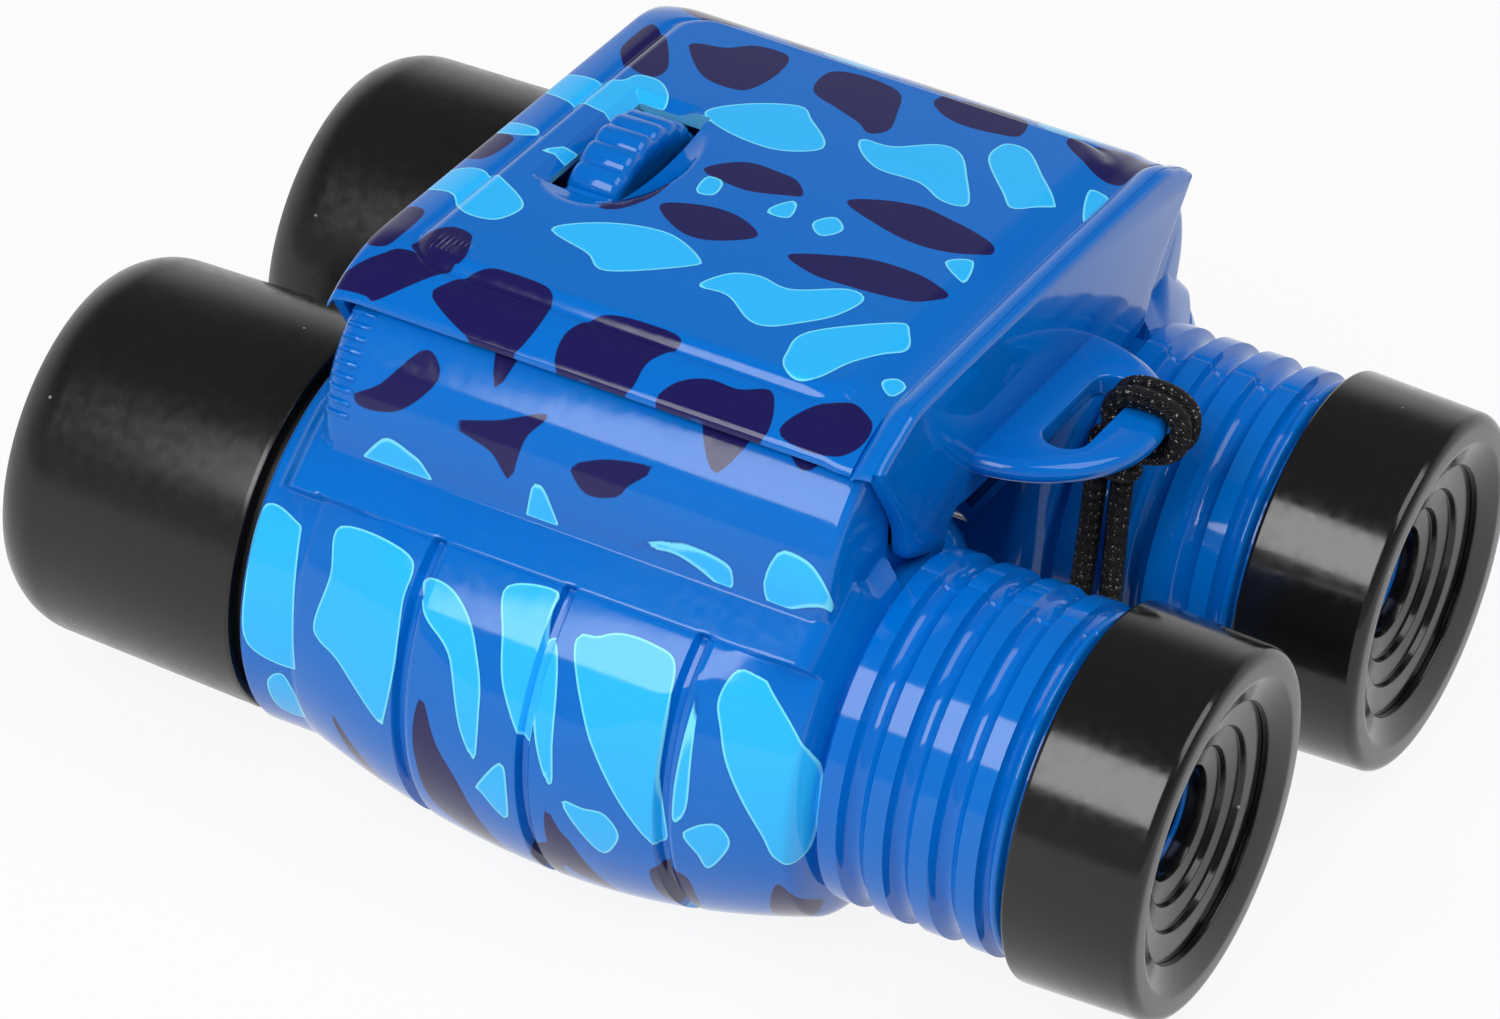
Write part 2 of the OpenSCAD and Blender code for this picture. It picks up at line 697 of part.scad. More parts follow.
module strap_lug() {
    translate([0, 0, lug_top - lug_t]) linear_extrude(lug_t) difference() {
        intersection() {
            translate([0, bridge_rear_y + 0.8]) circle(r = lug_r);
            translate([-lug_r, bridge_rear_y - lug_r]) square([2 * lug_r, lug_r + 0.5]);
        }
        for (x = [-1, 1]) translate([x * (slot_half - slot_w / 2), slot_y])
            circle(r = slot_w / 2, $fn = 48);
        translate([-slot_half + slot_w / 2, slot_y - slot_w / 2]) square([2 * slot_half - slot_w, slot_w]);
    }
}

module bridge_frame() {
    front_in_y = bridge_front_y - plate_t;
    rear_in_y = bridge_rear_y + plate_t;
    color(BLUE) on_floor() difference() {
        union() {
            along(bridge_rear_y, rear_in_y) rear_plate(plate_chamfer);
            along(bridge_rear_y + plate_chamfer, rear_in_y) rear_plate(0);
            along(rear_in_y - 0.1, cover_rear_y - seat) difference() {
                polygon(cover_block());
                polygon(cover_inside());
            }
            along(front_in_y, bridge_front_y - 0.3) front_plate();
            for (x = [-rail_x - rail_w, rail_x]) translate([x, rear_in_y - 0.5, rail_z0])
                cube([rail_w, front_in_y - rear_in_y + 1, rail_z1 - rail_z0]);
            for (s = [-1, 1]) for (y = [rear_in_y - 0.5, front_in_y + 0.5 - shelf_l])
                translate([s > 0 ? rail_x : -rail_x - shelf_w, y, rail_z0])
                    cube([shelf_w, shelf_l, rail_z1 - rail_z0]);
            translate([0, 0, spindle_rise]) {
                rod(bearing_r, rear_in_y - 0.5, rear_in_y + bush_l);
                rod(bearing_r, front_in_y - bush_l, front_in_y + 0.5);
            }
            for (y = base_screw_y) translate([0, y, base_z + base_t + seat])
                cylinder(r = 3, h = spindle_rise - base_z - base_t - 3, $fn = 32);
            strap_lug();
        }
        translate([0, 0, spindle_rise]) rod(spindle_r + bush_t, rear_in_y, front_in_y);
        for (x = [-hinge_x, hinge_x]) translate([x, 0, hinge_rise])
            rod(pin_r + running, bridge_rear_y + 0.4, bridge_front_y - 0.6);
        at_cover_screws() {
            translate([0, 0, rail_z0 - 1]) cylinder(r = screw_r + seat, h = 9, $fn = 32);
            translate([0, 0, rail_z0 - 1]) cylinder(r = screw_head_r + 0.2, h = 2.4, $fn = 32);
        }
        for (y = base_screw_y) translate([0, y, base_z]) cylinder(r = screw_r - 0.1, h = 8, $fn = 32);
    }
}

module cover_screws() {
    head_t = 1.4;
    grip_l = 4.5;
    color(STEEL) on_floor() at_cover_screws() {
        translate([0, 0, rail_z0]) cylinder(r = screw_head_r, h = head_t, $fn = 32);
        translate([0, 0, rail_z0 + head_t - 0.1])
            cylinder(r = screw_r, h = rail_z1 - rail_z0 - head_t + 0.1, $fn = 32);
        translate([0, 0, rail_z1 - 0.1]) cylinder(r = screw_r - 0.1, h = grip_l + 0.1, $fn = 32);
    }
}

// Tray that closes the bridge from below and follows the barrels
module bridge_base() {
    wing_r = barrel_r + 0.5;
    wing_reach = 9;
    wing_x = hinge_x - wing_reach;
    wing_start = 6;
    tray_x = hinge_x - sqrt(pow(wing_r, 2) - pow(base_z + base_t, 2));
    rear_y = bridge_rear_y + plate_t + seat;
    front_y = bridge_front_y - plate_t - seat;
    color(DEEP_BLUE) on_floor() difference() {
        along(rear_y, front_y) union() {
            for (s = [-1, 1]) intersection() {
                translate([s * hinge_x, 0]) difference() {
                    circle(r = wing_r + base_t);
                    circle(r = wing_r);
                }
                translate([s > 0 ? wing_start : -wing_x, base_z])
                    square([wing_x - wing_start, wing_r]);
            }
            difference() {
                translate([-tray_x, base_z]) square([2 * tray_x, base_t]);
                for (s = [-1, 1]) translate([s * hinge_x, 0]) circle(r = wing_r);
            }
        }
        for (y = base_screw_y) translate([0, y, base_z - 1]) cylinder(r = screw_r + seat, h = 4, $fn = 32);
    }
}

module base_screws() {
    head_t = 1.4;
    grip_l = 7.5;
    color(STEEL) on_floor() for (y = base_screw_y) translate([0, y, 0]) {
        translate([0, 0, base_z - head_t]) cylinder(r = screw_head_r, h = head_t, $fn = 32);
        translate([0, 0, base_z - 0.1]) cylinder(r = screw_r - 0.1, h = grip_l + 0.1, $fn = 32);
    }
}

module spindle_bushes() {
    color(BRASS) on_floor() translate([0, 0, spindle_rise]) {
        for (y = [bridge_rear_y + plate_t, bridge_front_y - plate_t - bush_l]) difference() {
            rod(spindle_r + bush_t, y, y + bush_l);
            rod(spindle_r + running, y - 1, y + bush_l + 1);
        }
    }
}

module focus_spindle() {
    color(STEEL) on_floor() translate([0, 0, spindle_rise]) {
        rod(spindle_r, bridge_rear_y + plate_t + 0.2, bridge_front_y - plate_t - 0.2);
        rod(thread_r, fork_y0 - focus_back - 4, hub_y0 - 0.1);
    }
}

module focus_wheel() {
    ridge_r = 1.05;
    hub_r = 4.2;
    rim_t = 3.4;
    web_y = wheel_y - 1.1;
    color(BLUE) on_floor() translate([0, 0, spindle_rise]) difference() {
        union() {
            rod(wheel_r - ridge_r, wheel_y - wheel_w / 2, wheel_y + wheel_w / 2);
            for (i = [0:ridge_count - 1]) rotate([0, i * 360 / ridge_count, 0])
                translate([wheel_r - ridge_r, 0, 0])
                    translate([0, wheel_y - wheel_w / 2, 0]) rotate([-90, 0, 0])
                        cylinder(r = ridge_r, h = wheel_w, $fn = 24);
            rod(hub_r, hub_y0, hub_y1);
        }
        rod(spindle_r, hub_y0 - 1, hub_y1 + 1);
        difference() {
            rod(wheel_r - rim_t, wheel_y - wheel_w, web_y);
            rod(hub_r, hub_y0 - 1, hub_y1 + 1);
        }
    }
}

// Carriage: the nut on the spindle, a beam under the rails and a fork at each hinge axis
module focus_carriage() {
    beam_z1 = rail_z0 - 0.4;
    finger_r = hinge_rise - tube_r - 0.35;
    beam_inset = 4.6;
    beam_x = hinge_x - beam_inset;
    nut_wall = 2.6;
    nut_r = thread_r + nut_wall;
    shoe_w = 5;
    color(BLACK) on_floor() difference() {
        union() {
            translate([0, 0, spindle_rise]) rod(nut_r, nut_y0, nut_y1);
            translate([-beam_x, fork_y0, beam_z0])
                cube([2 * beam_x, fork_y1 - fork_y0, beam_z1 - beam_z0]);
            for (s = [-1, 1]) for (y = [fork_y0, fork_y1 - fork_t]) along(y, y + fork_t) {
                translate([s * hinge_x, hinge_rise]) circle(r = finger_r, $fn = 48);
                translate([s > 0 ? hinge_x - shoe_w : -hinge_x - finger_r, beam_z0])
                    square([shoe_w + finger_r, beam_z1 - beam_z0]);
                translate([s > 0 ? hinge_x - finger_r : -hinge_x - finger_r, hinge_rise])
                    square([2 * finger_r, beam_z0 - hinge_rise + 0.1]);
            }
        }
        translate([0, 0, spindle_rise]) rod(thread_r + running, nut_y0 - 1, nut_y1 + 1);
    }
}

module left_outer_shell() { color(BLUE) left() outer_shell(); }
module right_outer_shell() { color(BLUE) right() outer_shell(); }
module left_inner_shell() { color(BLUE) left() inner_shell(); }
module right_inner_shell() { color(BLUE) right() inner_shell(); }
module left_shell_screws() { color(STEEL) left() shell_screws(); }
module right_shell_screws() { color(STEEL) right() shell_screws(); }
module left_hinge_pins() { color(STEEL) left() hinge_pins(); }
module right_hinge_pins() { color(STEEL) right() hinge_pins(); }
module left_eyecup() { color(BLACK) left() eyecup(); }
module right_eyecup() { color(BLACK) right() eyecup(); }
module left_ocular_holder() { color(BLACK) left() ocular_holder(); }
module right_ocular_holder() { color(BLACK) right() ocular_holder(); }
module left_eye_lens() { color(GLASS) left() eye_lens(); }
module right_eye_lens() { color(GLASS) right() eye_lens(); }
module left_field_stop() { color(BLACK) left() field_stop(); }
module right_field_stop() { color(BLACK) right() field_stop(); }
module left_focus_tube() { color(BLACK) left() focus_tube(); }
module right_focus_tube() { color(BLACK) right() focus_tube(); }
module left_hood() { color(BLACK) left() hood(); }
module right_hood() { color(BLACK) right() hood(); }
module left_objective_lens() { color(GLASS) left() objective_lens(); }
module right_objective_lens() { color(GLASS) right() objective_lens(); }
module left_lens_ring() { color(BLACK) left() lens_ring(); }
module right_lens_ring() { color(BLACK) right() lens_ring(); }

// Sweep of a round section along a list of points, with closed ends
function unit(v) = v / norm(v);
function heading(p, i) = unit(p[min(i + 1, len(p) - 1)] - p[max(i - 1, 0)]);
function side_of(t, ref) = unit(ref - (ref * t) * t);
module tube_along(p, r, sides, ref) {
    n = len(p);
    rings = [for (i = [0:n - 1])
        let(t = heading(p, i), u = side_of(t, ref), v = cross(t, u))
        for (k = [0:sides - 1]) p[i] + r * (cos(360 * k / sides) * u + sin(360 * k / sides) * v)];
    ends = [[for (k = [0:sides - 1]) k], [for (k = [sides - 1:-1:0]) (n - 1) * sides + k]];
    walls = [for (i = [0:n - 2]) for (k = [0:sides - 1])
        let(a = i * sides + k, b = i * sides + (k + 1) % sides)
        each [[a, a + sides, b + sides], [a, b + sides, b]]];
    polyhedron(points = rings, faces = concat(ends, walls), convexity = 10);
}

// Smooth curve through hand-chosen points: three rings for each stretch
function spline_point(p, i, t) =
    let(n = len(p), a = p[max(i - 1, 0)], b = p[i], c = p[i + 1], d = p[min(i + 2, n - 1)])
    0.5 * ((2 * b) + (c - a) * t + (2 * a - 5 * b + 4 * c - d) * t * t + (3 * b - 3 * c + d - a) * t * t * t);
function smooth_run(p, cuts) = concat(
    [for (i = [0:len(p) - 2]) for (k = [0:cuts - 1]) spline_point(p, i, k / cuts)], [p[len(p) - 1]]);

// Stored coil: spirals in on the lower layer, climbs, and spirals out on the upper one
loop_rings = 24;
coil_start = 180;
function coil_point(i) =
    let(total = 2 * coil_turns * loop_rings, mid = total / 2,
        turn = (i - mid) / loop_rings,
        r = coil_r - coil_pitch * (coil_turns - sqrt(pow(turn, 2) + 0.004)),
        climb = min(1, max(0, turn * 2 + 0.5)),
        z = coil_z + coil_pitch * (3 * pow(climb, 2) - 2 * pow(climb, 3)),
        a = coil_start - 360 * (i / loop_rings))
    [coil_x + r * cos(a), coil_y + r * sin(a), z];
coil_last = 2 * coil_turns * loop_rings;
coil_points = concat(
    [coil_point(0) - [0, cord_d, 0]],
    [for (i = [0:coil_last]) coil_point(i)],
    [coil_point(coil_last) + [0, cord_d, 0]]);
coil_gaps = [for (i = [0:len(coil_points) - 1]) for (j = [i + loop_rings / 2:1:len(coil_points) - 1])
    norm(coil_points[i] - coil_points[j]) - cord_d];
echo(least_gap_between_turns = min(coil_gaps));

module cord_coil() { color(BLACK) tube_along(coil_points, cord_r, 6, [0, 0, 1]); }
module cord_rear_run() { color(BLACK) tube_along(smooth_run(rear_run, 2), cord_r, 8, [0.3, 1, 0.1]); }
module cord_front_run() { color(BLACK) tube_along(smooth_run(front_run, 2), cord_r, 8, [1, 0.1, 0.2]); }

// Loop of cord round the bar of the lug, and the knot under it
loop_x = 4.6;
module cord_loop() {
    bar_y0 = bridge_rear_y + 0.8 - sqrt(pow(lug_r, 2) - pow(loop_x - cord_r, 2));
    bar_y1 = slot_y - slot_w / 2;
    color(BLACK) on_floor() translate([loop_x, 0, 0]) difference() {
        translate([-cord_r, 0, 0]) rotate([90, 0, 90]) linear_extrude(2 * cord_r) difference() {
            union() {
                translate([bar_y0 - cord_d, lug_top - lug_t - 1])
                    square([bar_y1 - bar_y0 + 2 * cord_d, lug_t + 2]);
                translate([bar_y0 - 1, lug_top - lug_t - cord_d])
                    square([bar_y1 - bar_y0 + 2, lug_t + 2 * cord_d]);
                for (y = [bar_y0 - 1, bar_y1 + 1]) for (z = [lug_top - lug_t - 1, lug_top + 1])
                    translate([y, z]) circle(r = cord_d - 1, $fn = 32);
            }
            translate([bar_y0 - 0.05, lug_top - lug_t - 0.05]) square([bar_y1 - bar_y0 + 0.1, lug_t + 0.1]);
        }
    }
}

// Rounded block, flat where the loop comes in above and the two runs leave below
module cord_knot() {
    knot_r = 3.3;
    color(BLACK) intersection() {
        translate([4.2, -40.4, knot_z]) cylinder(r = knot_r + 1, h = knot_h, $fn = 48);
        translate([4.2, -40.4, knot_z + knot_h / 2]) sphere(r = knot_r + 1.1, $fn = 48);
        translate([4.2 - knot_r, -50, 0]) cube([2 * knot_r, 20, 100]);
    }
}

module cord_tie() {
    inner = coil_r - coil_pitch * coil_turns - cord_r - seat;
    outer = coil_r + cord_r + 0.4;
    top = coil_z + coil_pitch + cord_r + seat;
    tie_w = 3;
    color(BLACK) translate([coil_x, coil_y, 0]) rotate(60) translate([0, -tie_w / 2, 0]) difference() {
        translate([inner - tie_t, 0, 0]) cube([outer - inner + 2 * tie_t, tie_w, top + tie_t]);
        translate([inner, -tie_t, tie_t]) cube([outer - inner, tie_w + 2 * tie_t, top - tie_t]);
    }
}

top_cover();
bridge_frame();
bridge_base();
cover_screws();
base_screws();
spindle_bushes();
focus_wheel();
focus_spindle();
focus_carriage();
left_outer_shell();
left_inner_shell();
left_shell_screws();
left_hinge_pins();
left_eyecup();
left_ocular_holder();
left_eye_lens();
left_field_stop();
left_focus_tube();
left_hood();
left_objective_lens();
left_lens_ring();
right_outer_shell();
right_inner_shell();
right_shell_screws();
right_hinge_pins();
right_eyecup();
right_ocular_holder();
right_eye_lens();
right_field_stop();
right_focus_tube();
right_hood();
right_objective_lens();
right_lens_ring();
cord_loop();
cord_knot();
cord_rear_run();
cord_front_run();
cord_coil();
cord_tie();
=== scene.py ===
"""Looks of the toy binoculars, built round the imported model.

Lengths here are millimetres and become metres when a mesh is made. X runs across,
Y from the eyecups to the hoods, Z up. Heights named "rise" are above the barrel axes.
The left barrel is the one at -X, and the right one is its mirror image.
"""

import math

import bmesh
import bpy
import numpy as np
from mathutils import Matrix, Vector


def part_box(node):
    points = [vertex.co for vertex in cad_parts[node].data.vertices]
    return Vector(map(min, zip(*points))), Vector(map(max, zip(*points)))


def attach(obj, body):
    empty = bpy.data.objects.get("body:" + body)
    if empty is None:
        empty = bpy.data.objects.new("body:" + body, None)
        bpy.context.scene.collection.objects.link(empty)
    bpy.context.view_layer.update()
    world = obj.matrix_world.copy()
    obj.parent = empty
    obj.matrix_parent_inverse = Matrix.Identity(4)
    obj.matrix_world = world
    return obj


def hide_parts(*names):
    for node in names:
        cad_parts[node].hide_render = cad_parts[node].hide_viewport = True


MM = 0.001

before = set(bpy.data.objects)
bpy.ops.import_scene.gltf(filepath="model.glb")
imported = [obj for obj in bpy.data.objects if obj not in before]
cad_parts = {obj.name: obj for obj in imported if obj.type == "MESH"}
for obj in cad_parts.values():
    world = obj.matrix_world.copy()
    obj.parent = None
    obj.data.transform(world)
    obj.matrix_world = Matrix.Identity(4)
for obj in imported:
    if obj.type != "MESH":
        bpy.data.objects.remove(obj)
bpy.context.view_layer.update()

hood_low, hood_high = (np.array(corner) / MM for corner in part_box("left_hood"))
AXIS_X = -(hood_low[0] + hood_high[0]) / 2
AXIS_Z = (hood_low[2] + hood_high[2]) / 2

# Steps of a turned piece, and the angle from which an edge is sharp
LATHE_STEPS, SHARP = 160, 32

# Barrel
BARREL_R, BARREL_FRONT, WIDE_REAR = 22.9, 36.2, -32.4
BORE_R, BORE_STEP = 20.8, 2.1
SHOULDER_L = 4.4
STRIP_REACH, STRIP_FACING, STRIP_START = 24.85, 131.0, 108.0
PAD_R, PAD_OFFSET, PAD_DIRECTION = 23.5, 5.0, math.radians(205)
PAD_TOP, PAD_END, PAD_FRONT = 140.0, 267.0, 29.3
BELLY_R, BELLY_Y = 27.8, -2.2
BELLY_FRONT_CURVE, BELLY_REAR_CURVE = 0.00478, 0.00645
GROOVES = [-17.6, -1.7, 14.2]
GROOVE_W, GROOVE_DEPTH = 1.7, 1.1
SEAM_ANGLE, SEAM_DEPTH = 0.7, 0.22
BEAD_H, BEAD_W = 0.3, 0.45
FORK_HALF, FORK_REAR, FORK_FRONT = 4.4, 1.5, 12.5
STOP_HALF = 2.4

# Neck
NECK_R, NECK_BORE_R, NECK_REAR = 18.4, 16.6, -55.1
RIB_R, RIB_FLAT, RIB_PITCH, FIRST_RIB, RIBS = 19.9, 1.2, 5.4, -34.1, 4
END_RING_Y, END_RING_HALF, END_RING_H = -53.3, 0.75, 0.75

# Eyecup, with the (radius, Y) of the three walls that step down to the eye hole
CUP_REAR, CUP_R, CUP_BORE_R, CUP_DEEP = -70.2, 20.9, 15.2, -68.2
EYE_WALLS = [(11.5, -67.75), (8.9, -66.65), (6.4, -65.6)]

# Hood
NOSE_R, NOSE_L, NOSE_W, NOSE_END = 21.8, 5.4, 2.3, math.radians(45)
TUBE_R, TUBE_FRONT = 20.5, 62.1

# Hinge drums and bridge
HINGE_RISE = 22.7
DRUM_R, DRUM_REAR, DRUM_FRONT = 15.3, -29.8, 32.2
DRUM_FILLET, DRUM_REAR_FILLET, DRUM_OPEN = 2.4, 1.4, 103.5
MARKS, FIRST_MARK, MARK_PITCH, MARK_HALF, MARK_H, MARK_BEND = 9, 131.5, 5.3, 0.3, 0.3, 42
LOBE_REACH, LOBE_SIDE = 9.8, -2.7
COVER_R, COVER_WALL, LIP_ANGLE = 16.8, 1.0, 52.0
PANEL_X, PANEL_CROWN = 31.7, 0.4
PANEL_REAR, PANEL_FRONT, PANEL_CORNER = -25.0, 28.7, 4.5
PANEL_SOFT, PANEL_SOFT_REAR, PANEL_GROOVE, REAR_DROP = 1.8, 1.2, 0.25, 0.35
PANEL_RISE = HINGE_RISE + math.sqrt(COVER_R**2 - (PANEL_X - AXIS_X) ** 2) + 0.9
SHOULDER_RISE = HINGE_RISE + COVER_R
FRONT_DROP = 0.9
BRIDGE_REAR, BRIDGE_FRONT = -31.9, 34.3
PLATE_T, REAR_BAND = 1.9, 3.4
BAND_X, BAND_SOFT = 34.2, 5.4
LIP_X = AXIS_X + COVER_R * math.cos(math.radians(LIP_ANGLE))

# Focus wheel, the window over it and the finger scoop
WHEEL_R, WHEEL_W, WHEEL_Y, WHEEL_RISE, RIDGES, RIDGE_H = 13.0, 6.4, 19.1, 29.9, 24, 0.55
HUB_R, HUB_BORE_R, HUB_OUT = 4.2, 2.05, 2
SLOT_X, SLOT_REAR, SLOT_FRONT = 10.6, 14.7, 23.6
SCOOP_X, SCOOP_Y, SCOOP_L, SCOOP_W, SCOOP_DEPTH = -1.5, 19.3, 12.6, 7.9, 1.9
BEVEL_X, BEVEL_DEPTH = 1.2, 1.1
GRIP_X, GRIP_Y, GRIP_HALF_X, GRIP_HALF_Y, GRIP_PITCH, GRIP_H = -29.6, 24.4, 1.4, 2.6, 0.62, 0.16

# Strap lug and cord
LUG_R, LUG_T, LUG_RISE = 15.5, 2.7, 27.0
LUG_SLOT_HALF, LUG_SLOT_W, LUG_SLOT_Y = 8.4, 5.1, -38.45
CORD_D, LOOP_D, KNOT_D = 2.6, 2.45, 2.5
COIL_X, COIL_Y, COIL_Z, COIL_R, COIL_TURNS, COIL_PITCH = 75.0, 26.0, 2.0, 19.0, 3, 3.1
COIL_STEPS = 48
LOOP_XS, BAR_REAR = (3.3, 5.75), -46.4
KNOT_X, KNOT_Y, KNOT_TOP, KNOT_HALF_X, KNOT_HALF_Y = 4.3, -40.2, 47.6, 1.55, 2.0
KNOT_PITCH, KNOT_TURNS = 2.0, 2.3
BRAID_STRANDS, BRAID_STEP = 8, 1.3

# Blotches: the depth well outside all of them, and millimetres to a degree round a barrel
FAR, DEGREE = -2.0, 0.43

# Studio, in metres
NEAR_WALL, FAR_WALL, CEILING_LEVEL = 0.25, 0.7, 0.15
FLOOR_HALF, FLOOR_GLOW, FLOOR_TONE = 4.0, 0.9, 0.86
LAMP_TARGET = (0, 0, 0.03)
LAMPS = [  # name, place, width, height, radiance
    ("key", (-0.75, 0.105, 0.712), 0.60, 0.54, 6.6),
    ("top", (0.05, -0.55, 0.98), 0.7, 0.7, 3.4),
]
CAMERA_PLACE = (-0.63480, -0.29838, 0.47256)
CAMERA_AZIMUTH, CAMERA_ELEVATION, CAMERA_ROLL, CAMERA_LENS = -64.774, 32.499, 5.237, 179.71


# Shape helpers


def ease(t):
    t = np.clip(t, 0, 1)
    return t * t * (3 - 2 * t)


def soft_max(a, b, k):
    """The larger of two heights, with a fillet of about k where they cross."""
    h = np.clip(0.5 + 0.5 * (a - b) / k, 0, 1)
    return b + (a - b) * h + k * h * (1 - h)


def lines(low, high, step, fine=()):
    """Grid lines from low to high, closer together in the fine (centre, half width, step) spots."""
    values = [low, high]
    x = low
    while x < high:
        values.append(x)
        here = [s for c, half, s in fine if abs(x - c) <= half]
        x += min(here) if here else step
        for c, half, s in fine:
            if not here and x > c - half > x - step:
                x = c - half
    return np.array(sorted(set(np.round(values, 4))))


def curve_through(points, closed=True, cuts=6):
    """Smooth curve through given points."""
    p = np.pad(np.array(points, float), ((1, 2), (0, 0)), "wrap" if closed else "edge")
    out = []
    for i in range(len(points) if closed else len(points) - 1):
        a, b, c, d = p[i : i + 4]
        bend, twist = 2 * a - 5 * b + 4 * c - d, 3 * b - 3 * c + d - a
        for t in np.arange(cuts) / cuts:
            out.append(0.5 * (2 * b + (c - a) * t + bend * t**2 + twist * t**3))
    return np.array(out if closed else [*out, p[-1]])


def rounded(corners):
    """Closed outline from (x, y, fillet radius) corners."""
    out = []
    for i, (x, y, r) in enumerate(corners):
        here = np.array([x, y], float)
        if r <= 0:
            out.append(here)
            continue
        before = np.array(corners[i - 1][:2], float) - here
        after = np.array(corners[(i + 1) % len(corners)][:2], float) - here
        u, v = unit(before), unit(after)
        half = math.acos(max(-1, min(1, float(u @ v)))) / 2
        reach = r / math.tan(half)
        centre = here + unit(u + v) * r / math.sin(half)
        start, end = here + u * reach - centre, here + v * reach - centre
        turn = math.pi - 2 * half
        for t in np.arange(7) / 6:
            spoke = start * math.sin((1 - t) * turn) + end * math.sin(t * turn)
            out.append(centre + spoke / math.sin(turn))
    return np.array(out)


def unit(v):
    return v / np.linalg.norm(v)


def arc_length(path):
    """Length along a path from its start, at each point."""
    return np.concatenate([[0], np.cumsum(np.linalg.norm(np.diff(path, axis=0), axis=1))])


def turned(r, y, angle):
    """Points at a radius and an angle round the Y axis."""
    return np.stack(np.broadcast_arrays(r * np.cos(angle), y, r * np.sin(angle)), axis=-1).reshape(-1, 3)


# Mesh helpers


def grid_faces(rows, cols, wrap_rows=True):
    """Faces between rows of points, where each row is a closed ring."""
    faces = []
    for i in range(rows if wrap_rows else rows - 1):
        here, beyond = i * cols, (i + 1) % rows * cols
        for j in range(cols):
            k = (j + 1) % cols
            faces.append((here + j, here + k, beyond + k, beyond + j))
    return faces


def bar_faces(rows, cols):
    """Faces of a bar from rows of points, with a flat face at each end."""
    ends = [tuple(range(start, start + cols)) for start in (0, (rows - 1) * cols)]
    return grid_faces(rows, cols, False) + ends


def new_object(name, data):
    obj = bpy.data.objects.new(name, data)
    bpy.context.scene.collection.objects.link(obj)
    return obj


def piece(name, points, faces, body, finish, replaces=(), sharp=SHARP):
    """A mesh piece from points in millimetres, on its body, with the material of its (slot, material) finish;
    the slot is not used.
    """
    mesh = bpy.data.meshes.new(name)
    mesh.from_pydata((np.array(points) * MM).tolist(), [], faces)
    bm = bmesh.new()
    bm.from_mesh(mesh)
    bmesh.ops.recalc_face_normals(bm, faces=bm.faces)
    bm.to_mesh(mesh)
    bm.free()
    mesh.shade_smooth()
    mesh.set_sharp_from_angle(angle=math.radians(sharp))
    slot, material = finish
    mesh.materials.append(material)
    obj = new_object(name, mesh)
    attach(obj, body)
    if replaces:
        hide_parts(*replaces)
    return obj


def barrel_piece(side, part, points, faces, body, finish, replaces=(), sharp=SHARP):
    """A piece given about its own barrel's axis, moved to the left (-1) or right (+1) barrel."""
    name = "left" if side < 0 else "right"
    points = np.array(points, float) * [-side, 1, 1] + [side * AXIS_X, 0, AXIS_Z]
    nodes = [f"{name}_{node}" for node in replaces]
    return piece(f"{name}_{part}", points, faces, f"{name}_{body}", finish, nodes, sharp)


def bridge_piece(name, points, faces, finish, node, sharp=SHARP):
    """A piece of the bridge, given with heights above the barrel axes."""
    points[:, 2] += AXIS_Z
    return piece(name, points, faces, "bridge", finish, [node], sharp)


def lathe(side, part, outline, body, finish, replaces=(), sharp=SHARP):
    """Turns a closed (radius, y) outline about a barrel axis."""
    angles = np.linspace(0, 2 * math.pi, LATHE_STEPS, endpoint=False)
    points = turned(outline[:, 0], outline[:, 1], angles[:, None])
    faces = grid_faces(LATHE_STEPS, len(outline))
    barrel_piece(side, part, points, faces, body, finish, replaces, sharp)


def float_attribute(mesh, name, values):
    mesh.attributes.new(name, "FLOAT", "POINT").data.foreach_set("value", np.asarray(values, np.float32))


def cut(obj, low, high):
    """Cuts a box from its low to its high corner out of a piece; the cut faces have no blotches."""
    low, high = np.array(low) * MM, np.array(high) * MM
    place = Matrix.Translation((low + high) / 2) @ Matrix.Diagonal((*(high - low), 1))
    mesh = bpy.data.meshes.new("cutter")
    bm = bmesh.new()
    bmesh.ops.create_cube(bm, size=1, matrix=place)
    bm.to_mesh(mesh)
    bm.free()
    for name in ("light", "dark"):
        float_attribute(mesh, name, np.full(len(mesh.vertices), FAR))
    cutter = new_object("cutter", mesh)
    modifier = obj.modifiers.new("cut", "BOOLEAN")
    modifier.operation, modifier.solver, modifier.object = "DIFFERENCE", "EXACT", cutter
    bpy.context.view_layer.update()
    evaluated = obj.evaluated_get(bpy.context.evaluated_depsgraph_get())
    done = bpy.data.meshes.new_from_object(evaluated)
    obj.modifiers.clear()
    obj.data = done
    bpy.data.objects.remove(cutter)
    obj.data.set_sharp_from_angle(angle=math.radians(SHARP))


# Colours, written as they look on screen


def colour(r, g, b):
    def linear(c):
        c /= 255
        return c / 12.92 if c <= 0.04045 else ((c + 0.055) / 1.055) ** 2.4

    return (linear(r), linear(g), linear(b), 1.0)


LIGHT_CYAN = colour(42, 186, 255)
RIM_CYAN = colour(120, 226, 255)
NAVY = colour(26, 22, 84)
HALO_BLUE = colour(0, 60, 150)
DUST_GREY = colour(150, 150, 150)
BRIGHT_METAL = colour(225, 225, 225)
FLECK = colour(178, 168, 150)


# Materials


def new_material(name):
    material = bpy.data.materials.new(name)
    material.use_nodes = True
    tree = material.node_tree
    return material, tree, tree.nodes["Principled BSDF"]


def set_inputs(tree, node, **inputs):
    """Sets or links a node's inputs by name, where __ is a space, or by number, as in0."""
    for key, value in inputs.items():
        numbered = key.startswith("in") and key[2:].isdigit()
        socket = node.inputs[int(key[2:]) if numbered else key.replace("__", " ")]
        if isinstance(value, bpy.types.NodeSocket):
            tree.links.new(value, socket)
        else:
            socket.default_value = value


